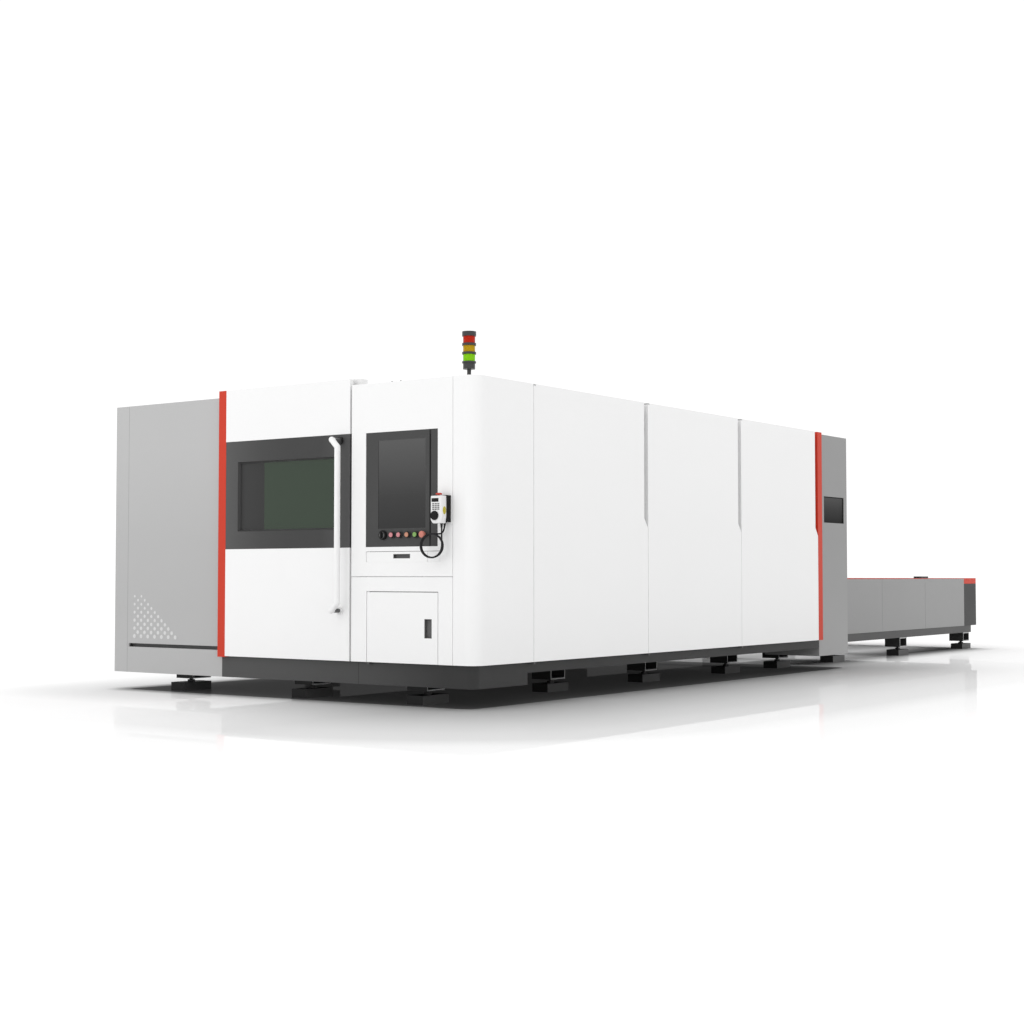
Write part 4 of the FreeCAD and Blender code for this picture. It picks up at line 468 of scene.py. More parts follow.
def rubber(name, colour):
    """Cable sheath: soft, dull and slightly dusty."""
    material, tree, shader = new_material(name)
    dust = object_noise(tree, scale=35.0, detail=6.0)
    dusty = [part * 1.5 + 0.004 for part in colour]
    tree.links.new(mixed(tree, dust, colour, dusty), shader.inputs["Base Color"])
    uneven_gloss(tree, shader, dust, low=0.45, high=0.65)
    add_bump(tree, shader, object_noise(tree, scale=700.0, detail=3.0), SHEATH_DEPTH)
    shader.inputs["Specular IOR Level"].default_value = 0.2
    return material


RUBBER = rubber("black_cable_rubber", (0.01, 0.01, 0.011))
print("the cable's rubber is ready")

# %% [markdown]
# ### Display
# The display is off: nearly black glass that is a little lighter towards its
# top, where it mirrors the bright room in the photograph. A real reflection
# would move with the camera, so the tone is part of the colour instead.

# %% Display glass
SCREEN_LOW, SCREEN_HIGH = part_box("screen")


def display_glass(name, low, high):
    """Dark glass whose tone rises from its lower edge to its upper edge."""
    material, tree, shader = new_material(name)
    rise = [("Z", low, high, [(0.0, 0.0), (0.35, 0.2), (0.65, 0.6), (1.0, 1.0)])]
    tree.links.new(shaded(tree, grey(0.063), rise), shader.inputs["Base Color"])
    haze = object_noise(tree, scale=4.0, detail=2.0)
    uneven_gloss(tree, shader, haze, low=0.1, high=0.16)
    return material


SCREEN = display_glass("display_glass", SCREEN_LOW[2], SCREEN_HIGH[2])
print("display is", round(SCREEN_HIGH[2] - SCREEN_LOW[2], 3), "m tall")

# %% [markdown]
# ### Windows
# The door has green laser-safety glass, which lets only a little light
# through. Fully clear glass would show the inside of the cabin, and the
# photograph doesn't, so most of this pane is plain colour. The small rear
# window has a coating against glare, so it hardly mirrors anything.

# %% Window glass
REAR_LOW, REAR_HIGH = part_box("rear_window")
SAFETY_GREEN = (0.022, 0.042, 0.022)


def tinted_glass(name, colour):
    """Dark laser-safety glass that still lets a little light through."""
    material, tree, shader = new_material(name)
    haze = object_noise(tree, scale=3.0, detail=2.0)
    tree.links.new(patchy(tree, haze, colour, 0.92), shader.inputs["Base Color"])
    uneven_gloss(tree, shader, haze, low=0.05, high=0.09)
    shader.inputs["Transmission Weight"].default_value = 0.15
    shader.inputs["IOR"].default_value = 1.45
    return material


def coated_glass(name, colour, shades):
    """Dark glass with an anti-glare coating, which reflects very little."""
    material, tree, shader = new_material(name)
    haze = object_noise(tree, scale=6.0, detail=2.0)
    tone = shaded(tree, patchy(tree, haze, colour, 0.9), shades)
    tree.links.new(tone, shader.inputs["Base Color"])
    uneven_gloss(tree, shader, haze, low=0.4, high=0.5)
    shader.inputs["Specular IOR Level"].default_value = 0.06
    return material


GLASS = tinted_glass("green_safety_glass", SAFETY_GREEN)
REAR_GLASS = coated_glass("dark_rear_glass", grey(0.07), [
    ("Z", REAR_LOW[2], REAR_HIGH[2], [(0.0, 0.02), (0.5, 0.4), (1.0, 1.0)]),
])
print("rear window is", round(REAR_HIGH[1] - REAR_LOW[1], 3), "m long")

# %% [markdown]
# ### Lamp lenses
# The signal tower has a red, an amber and a green lens. The lamps are off.
# Clear coloured plastic would look black without a lamp behind it, so the
# lenses are cloudy and show their own strong colour.

# %% Lamp lenses
def lens(name, colour):
    """A coloured lamp lens. It is cloudy, so it shows its own colour."""
    material, tree, shader = new_material(name)
    haze = object_noise(tree, scale=60.0, detail=2.0)
    tree.links.new(patchy(tree, haze, colour, 0.75), shader.inputs["Base Color"])
    uneven_gloss(tree, shader, haze, low=0.25, high=0.35)
    shader.inputs["Specular IOR Level"].default_value = 0.12
    return material


LENSES = {
    "red": lens("red_lens", (0.5, 0.018, 0.004)),
    "amber": lens("amber_lens", (0.5, 0.31, 0.006)),
    "green": lens("green_lens", (0.23, 0.6, 0.004)),
}
print(len(LENSES), "colours of lens")

# %% [markdown]
# ## Which surface each metal part has
# A CAD part keeps its shape. Only the material in its slots is changed. The
# pairs stand in one table, so that a part without a surface stops the script
# instead of staying plain unseen.

# %% Give every CAD part its surface
SURFACES = {
    "roof_plate": WHITE, "corner_shell": WHITE, "console_panels": WHITE,
    "keyboard_drawer": WHITE, "lower_door": WHITE, "door_leaf": WHITE,
    "side_door_1": WHITE, "side_door_2": WHITE, "side_door_3": WHITE,
    "fixed_side_panels": WHITE, "door_handle": HANDLE, "door_hangers": ROSE,
    "grey_front": GREY, "rear_cabinet": CABINET_GREY, "lift_gate": CABINET_GREY,
    "table_side_panels": TABLE_GREY, "table_end_cover": END_GREY,
    "door_red_strip": RED, "rear_red_strips": RED, "table_red_trim": RED,
    "plinth": PLINTH, "foot_brackets": BRACKET, "levelling_feet": FOOT,
    "door_guides": DARK, "frame_tubes": TUBE_GREY,
    "bed_frame": BED_GREY, "console_housings": BED_GREY,
    "door_band": BAND, "door_glass": GLASS, "rear_window": REAR_GLASS,
    "screen": SCREEN, "operating_panel": PANEL_GREY, "key_switch": BLACK,
    "button_one": BUTTON_RED, "button_two": BUTTON_RED,
    "button_three": BUTTON_ORANGE, "button_four": BUTTON_GREEN,
    "emergency_stop": STOP_RED, "drawer_grip": GRIP_GREY, "lower_door_grip": GRIP_GREY,
    "pendant_holder": BLACK, "pendant_body": PENDANT, "pendant_wheel": BLACK,
    "pendant_stop": PENDANT_RED, "enabling_button": YELLOW,
    "pendant_coil": RUBBER, "pendant_lead": RUBBER, "pendant_tail": RUBBER,
    "tower_stand": TOWER_GREY, "lens_red": LENSES["red"],
    "lens_amber": LENSES["amber"], "lens_green": LENSES["green"],
    "bed_rails": STEEL, "pallet_upper_frame": BED_GREY, "pallet_lower_frame": BED_GREY,
    "pallet_upper_slats": STEEL, "pallet_lower_slats": STEEL,
    "gantry_bridge": ALUMINIUM, "head_carriage": DARK, "cutting_head": ALUMINIUM,
}
for node_name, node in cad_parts.items():
    surface = SURFACES[node_name]
    if not node.material_slots:
        node.data.materials.append(surface)
    for material_slot in node.material_slots:
        material_slot.material = surface
print(len(SURFACES), "parts have a surface")

# %% [markdown]
# ### Folded edges
# Sheet metal is folded, so its edges are slightly round and catch the light.
# The edges could be rounded in CAD, but a Bevel modifier does it here with one
# width for each part, and it leaves the mesh itself alone. The angle limit
# keeps it off edges between nearly flat faces, such as those of a round corner.

# %% Soften the edges of the sheet-metal parts
FOLD_ANGLE = math.radians(50.0)
FOLDED = {
    "console_panels": 0.003, "corner_shell": 0.003, "keyboard_drawer": 0.002,
    "lower_door": 0.003, "door_leaf": 0.004, "side_door_1": 0.004,
    "side_door_2": 0.004, "side_door_3": 0.004, "fixed_side_panels": 0.003,
    "door_red_strip": 0.003, "grey_front": 0.002, "rear_cabinet": 0.004,
}
for node_name, width in FOLDED.items():
    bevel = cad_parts[node_name].modifiers.new("folded_edges", "BEVEL")
    bevel.width = width
    bevel.segments = 2
    bevel.limit_method = "ANGLE"
    bevel.angle_limit = FOLD_ANGLE
print(len(FOLDED), "parts have folded edges")

# %% [markdown]
# ## Turned pieces
# Buttons, lenses, knobs and cable glands are all round. Each could be a
# cylinder with bevels and grooves added one by one. A profile is shorter: it
# is a list of radius and height, turned about an axis, as on a lathe.
# A ribbed grip comes from letting the radius wave a little on its way round.

# %% Turn a profile into a closed round mesh
FRONT, RIGHT = (0.0, -1.0, 0.0), (1.0, 0.0, 0.0)
UP, DOWN = (0.0, 0.0, 1.0), (0.0, 0.0, -1.0)


def add_turned(shape, profile, centre, axis, steps=40, ribs=0, rib_depth=0.0, ribbed=(),
               oval=None, ring=False):
    """Turns a profile about an axis through a centre. The profile points whose
    numbers are in ribbed wave in and out, and oval gives the stretch of some
    points. A ring is open in its middle, so its last point meets the first."""
    turn = Vector(axis).to_track_quat("Z", "Y").to_matrix().to_4x4()
    to_place = Matrix.Translation(Vector(centre)) @ turn
    rings = []
    for number, (radius, height) in enumerate(profile):
        if radius == 0.0:
            rings.append([shape.verts.new(to_place @ Vector((0.0, 0.0, height)))])
            continue
        stretch = (oval or {}).get(number, 1.0)
        loop = []
        for step in range(steps):
            angle = 2.0 * math.pi * step / steps
            reach = radius + (rib_depth * math.cos(ribs * angle) if number in ribbed else 0.0)
            spot = Vector((reach * math.cos(angle), reach * math.sin(angle) * stretch, height))
            loop.append(shape.verts.new(to_place @ spot))
        rings.append(loop)
    for low, high in zip(rings, rings[1:] + (rings[:1] if ring else [])):
        for step in range(steps):
            corners = [low[step % len(low)], low[(step + 1) % len(low)],
                       high[(step + 1) % len(high)], high[step % len(high)]]
            shape.faces.new(list(dict.fromkeys(corners)))


print("a profile can be turned about", FRONT, RIGHT, UP, "or", DOWN)

# %% [markdown]
# A shape is built in a bmesh, which is Blender's mesh for editing. At the end
# it becomes an object. Faces that meet at less than the smooth angle share
# their shading, and sharper edges stay crisp. Some pieces stand for a simpler
# CAD part: they take over its place and its motion, and have the same finish.

# %% Make an object of a shape
def finish_piece(name, shape, surface, smooth_angle=35.0):
    """Makes an object of the mesh, with outward faces and a surface."""
    bmesh.ops.recalc_face_normals(shape, faces=shape.faces)
    mesh = bpy.data.meshes.new(name)
    shape.to_mesh(mesh)
    shape.free()
    for face in mesh.polygons:
        face.use_smooth = True
    mesh.set_sharp_from_angle(angle=math.radians(smooth_angle))
    mesh.materials.append(surface)
    piece = bpy.data.objects.new(name, mesh)
    bpy.context.collection.objects.link(piece)
    return piece


def turned_piece(name, profile, centre, axis, surface, **options):
    """One turned profile as a piece of its own."""
    shape = bmesh.new()
    add_turned(shape, profile, centre, axis, **options)
    return finish_piece(name, shape, surface)


def stand_for(piece, node_name, body):
    """The node is hidden, and the piece in its place moves with its body."""
    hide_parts(node_name)
    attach(piece, body)


print("helpers for pieces are ready")

# %% [markdown]
# ### Buttons on the operating panel
# Each push button is a glossy cap with a rounded rim, in a black bezel that
# stays still when the cap is pressed. The bezels are one piece, because they
# share a surface and never move. The caps are four pieces, one for each body.

# %% Push buttons and their bezels
PANEL_Y = behind(0.002)
ROW_Z = 1.183
CAP_PROFILE = [
    (0.0, -0.02), (0.017, -0.02), (0.017, 0.0235), (0.0166, 0.0262),
    (0.0152, 0.0282), (0.0128, 0.0289), (0.0112, 0.0283), (0.006, 0.0296), (0.0, 0.03),
]
BEZEL_PROFILE = [
    (0.0174, 0.0158), (0.0174, 0.0238), (0.0188, 0.0246), (0.0205, 0.0236), (0.0205, 0.0158),
]
BUTTONS = {
    "button_one": (0.718, BUTTON_RED), "button_two": (0.651, BUTTON_RED),
    "button_three": (0.578, BUTTON_ORANGE), "button_four": (0.506, BUTTON_GREEN),
}


def in_row(distance):
    """A place in the row of buttons, measured from the right side."""
    return Vector((across(distance), PANEL_Y, ROW_Z))


shape = bmesh.new()
for distance, _ in BUTTONS.values():
    add_turned(shape, BEZEL_PROFILE, in_row(distance), FRONT, ring=True)
bezels = finish_piece("button_bezels", shape, BLACK)
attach(bezels, "machine")

for button_name, (distance, surface) in BUTTONS.items():
    cap = turned_piece("cap_" + button_name, CAP_PROFILE, in_row(distance), FRONT, surface)
    stand_for(cap, button_name, button_name)
print(len(BUTTONS), "push buttons")

# %% [markdown]
# The emergency stop has a broad head on a thin stem, so that a hand finds it
# at once. It is turned like the others, with more points in its round head.

# %% Emergency stop
STOP_PROFILE = [
    (0.0, -0.02), (0.013, -0.02), (0.013, 0.0165), (0.0212, 0.0172), (0.0236, 0.0195),
    (0.024, 0.0225), (0.0236, 0.0285), (0.0218, 0.0338), (0.0175, 0.0366), (0.01, 0.0378),
    (0.0, 0.038),
]
STOP_DISTANCE = 0.44
stop_head = turned_piece("stop_head", STOP_PROFILE, in_row(STOP_DISTANCE), FRONT, STOP_RED)
stand_for(stop_head, "emergency_stop", "emergency_stop")
print("stop head is", round(2000.0 * max(radius for radius, _ in STOP_PROFILE)), "mm wide")

# %% [markdown]
# The key switch has a round base with ribs, a metal barrel and a bar to turn.
# The bar is a cube that is moved and stretched by its corners, then bevelled.
# Scaling the object would be quicker, but then its rounding would stretch too.

# %% Key switch with its turning bar
KEY_PROFILE = [
    (0.0, -0.02), (0.013, -0.02), (0.013, 0.0003), (0.032, 0.0003), (0.033, 0.0015),
    (0.033, 0.014), (0.0315, 0.0165), (0.025, 0.0175), (0.0235, 0.0165), (0.0235, 0.0145),
    (0.0, 0.0145),
]
BARREL_PROFILE = [
    (0.0, 0.0146), (0.0225, 0.0146), (0.0225, 0.0195), (0.0212, 0.0208), (0.0, 0.0208),
]
BAR_LOW, BAR_HIGH = Vector((-0.006, -0.035, -0.0215)), Vector((0.006, -0.0209, 0.0215))
RIB_DEPTH = 0.0005
KEY_DISTANCE = 0.804


def round_edges(shape, verts, rounding):
    """Rounds every edge that touches the given corners."""
    edges = list({edge for vert in verts for edge in vert.link_edges})
    bmesh.ops.bevel(shape, geom=edges, offset=rounding, segments=3, affect="EDGES", profile=0.5)


def add_block(shape, low, high, rounding):
    """A block with round edges, between two corners."""
    verts = bmesh.ops.create_cube(shape, size=1.0)["verts"]
    middle = (Vector(low) + Vector(high)) / 2.0
    size = Vector(high) - Vector(low)
    for vert in verts:
        vert.co = middle + Vector(part * whole for part, whole in zip(vert.co, size))
    round_edges(shape, verts, rounding)


key_place = in_row(KEY_DISTANCE)
shape = bmesh.new()
add_turned(shape, KEY_PROFILE, key_place, FRONT, steps=60, ribs=30, rib_depth=RIB_DEPTH,
           ribbed=(4, 5))
add_block(shape, key_place + BAR_LOW, key_place + BAR_HIGH, rounding=0.003)
key_head = finish_piece("key_head", shape, BLACK)
stand_for(key_head, "key_switch", "key_switch")
key_barrel = turned_piece("key_barrel", BARREL_PROFILE, key_place, FRONT, BARREL)
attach(key_barrel, "key_switch")
print("key switch has", len(key_head.data.polygons), "faces")

# %% [markdown]
# ### Hand pendant
# The operator takes this small control in a hand and walks along the machine.
# It has a white case with slanting lower corners. The case is an outline
# pulled from front to rear, because a cube has no slanting corners, and
# cutting them off would take a second shape.

# %% Case of the pendant
FACE_Y = behind(-0.095)
CASE_LOW, CASE_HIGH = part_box("pendant_body")
CASE_LEFT, CASE_RIGHT = across(0.310), across(0.212)
FOOT_LEFT, FOOT_RIGHT = across(0.292), across(0.219)
LEFT_SLANT_Z, RIGHT_SLANT_Z = 1.276, 1.296
CASE_OUTLINE = [
    (CASE_LEFT, CASE_HIGH[2]), (CASE_RIGHT, CASE_HIGH[2]), (CASE_RIGHT, RIGHT_SLANT_Z),
    (FOOT_RIGHT, CASE_LOW[2]), (FOOT_LEFT, CASE_LOW[2]), (CASE_LEFT, LEFT_SLANT_Z),
]


def add_plate(shape, outline, front, rear, rounding):
    """A plate with an outline of (x, z) points, from front to rear, with round edges."""
    near, far = [[shape.verts.new((x, y, z)) for x, z in outline] for y in (front, rear)]
    shape.faces.new(near)
    shape.faces.new(far)
    for number in range(len(outline)):
        after = (number + 1) % len(outline)
        shape.faces.new([near[number], near[after], far[after], far[number]])
    round_edges(shape, near + far, rounding)


shape = bmesh.new()
add_plate(shape, CASE_OUTLINE, FACE_Y, CASE_HIGH[1], rounding=0.007)
case = finish_piece("pendant_case", shape, PENDANT)
stand_for(case, "pendant_body", "machine")
print("pendant case from z", round(CASE_LOW[2], 3), "to", round(CASE_HIGH[2], 3))

# %% [markdown]
# The pendant hangs in a black holder on the console's side. Its small display
# is as black as the holder, so those two blocks are one piece. The holder's
# block reaches a little into the case, because two faces in the same plane
# would flicker.

# %% Holder and display of the pendant
HOLDER_LEFT = across(0.3)
HOLDER_GRIP = 0.006
DISPLAY_LOW = (HOLDER_LEFT, FACE_Y - 0.0015, 1.397)
DISPLAY_HIGH = (across(0.24), FACE_Y + 0.004, 1.422)
holder_low, holder_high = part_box("pendant_holder")
holder_front = (HOLDER_LEFT, CASE_HIGH[1] - HOLDER_GRIP, holder_low[2])
shape = bmesh.new()
add_block(shape, holder_front, holder_high, rounding=0.0025)
add_block(shape, DISPLAY_LOW, DISPLAY_HIGH, rounding=0.0013)
holder = finish_piece("pendant_cradle", shape, BLACK)
stand_for(holder, "pendant_holder", "machine")
print("holder and display have", len(holder.data.polygons), "faces")

# %% [markdown]
# The handwheel moves an axis by hand. It has fine ribs on its rim and a knob
# off its centre, which has to turn with it, so both are one piece.

# %% Handwheel of the pendant
WHEEL_PROFILE = [
    (0.0, -0.018), (0.006, -0.018), (0.006, 0.0003), (0.028, 0.0003), (0.031, 0.002),
    (0.031, 0.0095), (0.0292, 0.0118), (0.0262, 0.0123), (0.0242, 0.0105), (0.0118, 0.0098),
    (0.0102, 0.0118), (0.0, 0.0123),
]
KNOB_PROFILE = [
    (0.0, 0.008), (0.0045, 0.008), (0.0042, 0.011), (0.0058, 0.0135), (0.0055, 0.0155),
    (0.0, 0.0163),
]
KNOB_REACH = 0.0185
wheel_place = Vector((across(0.271), FACE_Y, 1.305))
knob_place = wheel_place + Vector((KNOB_REACH, 0.0, 0.0))
shape = bmesh.new()
add_turned(shape, WHEEL_PROFILE, wheel_place, FRONT, steps=72, ribs=36, rib_depth=RIB_DEPTH,
           ribbed=(4, 5))
add_turned(shape, KNOB_PROFILE, knob_place, FRONT, steps=20)
handwheel = finish_piece("handwheel", shape, BLACK)
stand_for(handwheel, "pendant_wheel", "pendant_wheel")
print("handwheel has", len(handwheel.data.polygons), "faces")

# %% [markdown]
# A red stop sits on top of the pendant, and a yellow enabling button on its
# side. The enabling button lies in an oval seat. The seat is a ring whose
# outer points are stretched one way, while its hole stays round.

# %% Stop and enabling button of the pendant
CASE_MIDDLE_Y = FACE_Y + 0.0275
PENDANT_STOP_PROFILE = [
    (0.0, -0.017), (0.006, -0.017), (0.006, 0.0062), (0.0195, 0.0062), (0.0216, 0.0078),
    (0.022, 0.0105), (0.0214, 0.0145), (0.0182, 0.0178), (0.012, 0.0188), (0.0, 0.019),
]
ENABLE_PROFILE = [
    (0.0, -0.014), (0.011, -0.014), (0.011, 0.0035), (0.0104, 0.0055), (0.0082, 0.0067),
    (0.0, 0.007),
]
SEAT_PROFILE = [
    (0.0113, -0.001), (0.0113, 0.0026), (0.0155, 0.003), (0.0165, 0.002), (0.0165, -0.001),
]
SEAT_STRETCH = 1.6

top_place = (across(0.259), CASE_MIDDLE_Y, CASE_HIGH[2])
pendant_button = turned_piece("pendant_button", PENDANT_STOP_PROFILE, top_place, UP, PENDANT_RED)
stand_for(pendant_button, "pendant_stop", "pendant_stop")

side_place = (CASE_HIGH[0], CASE_MIDDLE_Y, 1.34)
side_button = turned_piece("side_button", ENABLE_PROFILE, side_place, RIGHT, YELLOW)
stand_for(side_button, "enabling_button", "enabling_button")
side_seat = turned_piece("side_seat", SEAT_PROFILE, side_place, RIGHT, YELLOW,
                         oval=dict.fromkeys((2, 3, 4), SEAT_STRETCH), ring=True)
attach(side_seat, "machine")
print("enabling button sits at z", side_place[2])

# %% [markdown]
# ### Signal tower lenses
# A real lens has fine rings that spread the light of its lamp. The rings are
# shallow grooves in the profile. They could be bump, but their edges show
# against the white background, so they are real.

# %% Ringed lenses of the signal tower
LENS_RINGS = 7
RING_DEPTH = 0.0012


def ringed_profile(radius, height):
    """An upright wall with shallow grooves, closed above and below."""
    profile = [(0.0, 0.0), (radius - RING_DEPTH, 0.0)]
    for ring in range(LENS_RINGS):
        foot = height * ring / LENS_RINGS
        profile.append((radius, foot + 0.25 * height / LENS_RINGS))
        profile.append((radius, foot + 0.75 * height / LENS_RINGS))
        profile.append((radius - RING_DEPTH, foot + height / LENS_RINGS))
    return profile + [(0.0, height)]


for colour, surface in LENSES.items():
    low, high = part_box("lens_" + colour)
    middle = ((low[0] + high[0]) / 2.0, (low[1] + high[1]) / 2.0, low[2])
    profile = ringed_profile((high[0] - low[0]) / 2.0, high[2] - low[2])
    lamp_lens = turned_piece("ringed_lens_" + colour, profile, middle, UP, surface, steps=48)
    stand_for(lamp_lens, "lens_" + colour, "machine")
print(len(LENSES), "lenses with", LENS_RINGS, "rings each")

# %% [markdown]
# ## The pendant cable
# The cable leaves the pendant downwards, makes not quite three turns in a
# hanging coil and goes up into the holder. Its points could be set by hand,
# but the coil's are the turns of a screw line, so a loop works them out. A
# small sway in the radius keeps the turns from looking machine-made.

# %% Route of the cable
CABLE = 0.011
TURN = math.radians(15.0)
SIDEWAYS = Vector((math.cos(TURN), math.sin(TURN), 0.0))
INWARD = Vector((-math.sin(TURN), math.cos(TURN), 0.0))
COIL_RADIUS = 0.0795
CONTROL_RADIUS = 0.081
SWAY, SWAY_RATE = 0.001, 1.7
PITCH = 0.0125
STRAIGHT = 0.012
TAIL_REACH = 0.076
LAST_ANGLE = 11.0 * math.pi / 2.0
POINTS_A_TURN = 16

exit_place = Vector((across(0.235), behind(-0.068), CASE_LOW[2]))
coil_start = Vector((exit_place.x, exit_place.y, 1.103))
coil_middle = coil_start - SIDEWAYS * COIL_RADIUS


def on_coil(angle):
    """A control point beside the screw line at an angle."""
    radius = CONTROL_RADIUS + SWAY * math.sin(SWAY_RATE * angle)
    rim = SIDEWAYS * math.cos(angle) - Vector(UP) * math.sin(angle)
    return coil_middle + rim * radius + INWARD * (PITCH * angle / (2.0 * math.pi))


coil_steps = int(LAST_ANGLE / (2.0 * math.pi) * POINTS_A_TURN)
route = [exit_place, on_coil(0.0) + Vector(UP) * STRAIGHT]
route += [on_coil(step * LAST_ANGLE / coil_steps) for step in range(coil_steps + 1)]
route.append(on_coil(LAST_ANGLE) + SIDEWAYS * STRAIGHT)
tail_corner = on_coil(LAST_ANGLE) + SIDEWAYS * (STRAIGHT + TAIL_REACH)
tail_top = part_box("pendant_tail")[1][2]
route += [tail_corner, Vector((tail_corner.x, tail_corner.y, tail_top))]
print(len(route), "points on the cable's route")

# %% [markdown]
# The cable itself is one NURBS curve with a round bevel. A mesh tube would look
# the same, but a curve keeps its route, so its length can be measured and its
# points moved later. Order 3 keeps the line close to its points, and the
# endpoint setting makes it reach the first and the last one.

# %% Draw the cable as one NURBS curve
curve = bpy.data.curves.new("pendant_cable", "CURVE")
curve.dimensions = "3D"
curve.bevel_depth = CABLE / 2.0
curve.bevel_resolution = 4
curve.resolution_u = 6
curve.use_fill_caps = True
spline = curve.splines.new("NURBS")
spline.points.add(len(route) - 1)
for spot, place in zip(spline.points, route):
    spot.co = (*place, 1.0)
spline.order_u = 3
spline.use_endpoint_u = True
curve.materials.append(RUBBER)
cable = bpy.data.objects.new("pendant_cable", curve)
bpy.context.collection.objects.link(cable)
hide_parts("pendant_coil", "pendant_lead", "pendant_tail")
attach(cable, "machine")
print("cable is", round(spline.calc_length(), 3), "m long")

# %% [markdown]
# A strain relief is a rubber sleeve that keeps a cable from kinking at a
# housing. Its rings let it bend. It is another turned profile, and the loop
# in the profile makes each ring a little narrower than the one before.

# %% Strain reliefs where the cable leaves the pendant and enters the holder
BOOT_RINGS = 4
COLLAR_RADIUS, COLLAR_HEIGHT = 0.0105, 0.004
RING_RADIUS, RING_TAPER, END_RADIUS = 0.0098, 0.0028, 0.0066
GROOVE_SLOPE, GROOVE_WIDTH, GROOVE_DEPTH = 0.0012, 0.0016, 0.001
OUT_LENGTH, IN_LENGTH = 0.03, 0.024


def boot_profile(length):
    """A tapered sleeve with rings, wide where it leaves the housing."""
    profile = [(0.0, 0.0), (COLLAR_RADIUS, 0.0), (COLLAR_RADIUS, COLLAR_HEIGHT)]
    for ring in range(BOOT_RINGS):
        share = (ring + 1) / (BOOT_RINGS + 1)
        radius = RING_RADIUS - RING_TAPER * share
        groove = length * share
        profile.append((radius, groove - GROOVE_SLOPE))
        profile.append((radius - GROOVE_DEPTH, groove))
        profile.append((radius - GROOVE_DEPTH, groove + GROOVE_WIDTH))
    return profile + [(END_RADIUS, length), (0.0, length)]


boot_out = turned_piece("strain_relief_out", boot_profile(OUT_LENGTH), exit_place, DOWN, RUBBER,
                        steps=28)
boot_in = turned_piece("strain_relief_in", boot_profile(IN_LENGTH), route[-1], DOWN, RUBBER,
                       steps=28)
for boot in (boot_out, boot_in):
    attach(boot, "machine")
print("two strain reliefs with", BOOT_RINGS, "rings each")

# %% [markdown]
# ## Repeated small pieces
# Dots and keys repeat many times. A loop could copy their meshes, but a
# Geometry Nodes tree does it in one step: it puts one small piece on every
# point of a list. Its inputs have names, and a seed makes the small
# differences repeatable. The result is turned into a plain mesh, so nothing
# depends on the tree later.

# %% A tree that puts a piece on every point
TREE_INPUTS = {
    "Geometry": "Geometry", "Piece": "Object", "Low height": "Float", "High height": "Float",
    "Low size": "Float", "High size": "Float", "Size variation": "Float", "Seed": "Int",
    "Surface": "Material",
}


def repeat_tree():
    """Points in, realised copies of a piece out."""
    tree = bpy.data.node_groups.new("repeat_on_points", "GeometryNodeTree")
    for name, kind in TREE_INPUTS.items():
        tree.interface.new_socket(name, in_out="INPUT", socket_type="NodeSocket" + kind)
    tree.interface.new_socket("Geometry", in_out="OUTPUT", socket_type="NodeSocketGeometry")
    names = ("NodeGroupInput", "GeometryNodeObjectInfo", "FunctionNodeRandomValue",
             "ShaderNodeMath", "GeometryNodeInstanceOnPoints", "GeometryNodeRealizeInstances",
             "GeometryNodeSetMaterial", "NodeGroupOutput", "GeometryNodeInputPosition",
             "ShaderNodeSeparateXYZ", "ShaderNodeMapRange", "ShaderNodeMath")
    (group_in, info, chance, less, copies, real, paint, group_out,
     place, parts, by_height, size) = [tree.nodes.new(name) for name in names]
    less.operation = "SUBTRACT"
    less.inputs[0].default_value = 1.0
    size.operation = "MULTIPLY"
    link = tree.links.new
    link(group_in.outputs["Piece"], info.inputs["Object"])
    link(group_in.outputs["Size variation"], less.inputs[1])
    link(less.outputs["Value"], chance.inputs[2])
    chance.inputs[3].default_value = 1.0
    link(group_in.outputs["Seed"], chance.inputs["Seed"])
    link(group_in.outputs["Geometry"], copies.inputs["Points"])
    link(info.outputs["Geometry"], copies.inputs["Instance"])
    link(place.outputs["Position"], parts.inputs["Vector"])
    link(parts.outputs["Z"], by_height.inputs["Value"])
    for socket, name in (("From Min", "Low height"), ("From Max", "High height"),
                         ("To Min", "Low size"), ("To Max", "High size")):
        link(group_in.outputs[name], by_height.inputs[socket])
    link(by_height.outputs["Result"], size.inputs[0])
    link(chance.outputs[1], size.inputs[1])
    link(size.outputs["Value"], copies.inputs["Scale"])
    link(copies.outputs["Instances"], real.inputs["Geometry"])
    link(real.outputs["Geometry"], paint.inputs["Geometry"])
    link(group_in.outputs["Surface"], paint.inputs["Material"])
    link(paint.outputs["Geometry"], group_out.inputs["Geometry"])
    return tree


REPEAT = repeat_tree()
print("the tree has", len(REPEAT.nodes), "nodes")

# %% [markdown]
# The tree works as a modifier on a mesh that has only points. A modifier's
# input is set by its identifier, because two inputs could share a name. Then
# the evaluated mesh is kept, and the points and the model are deleted.

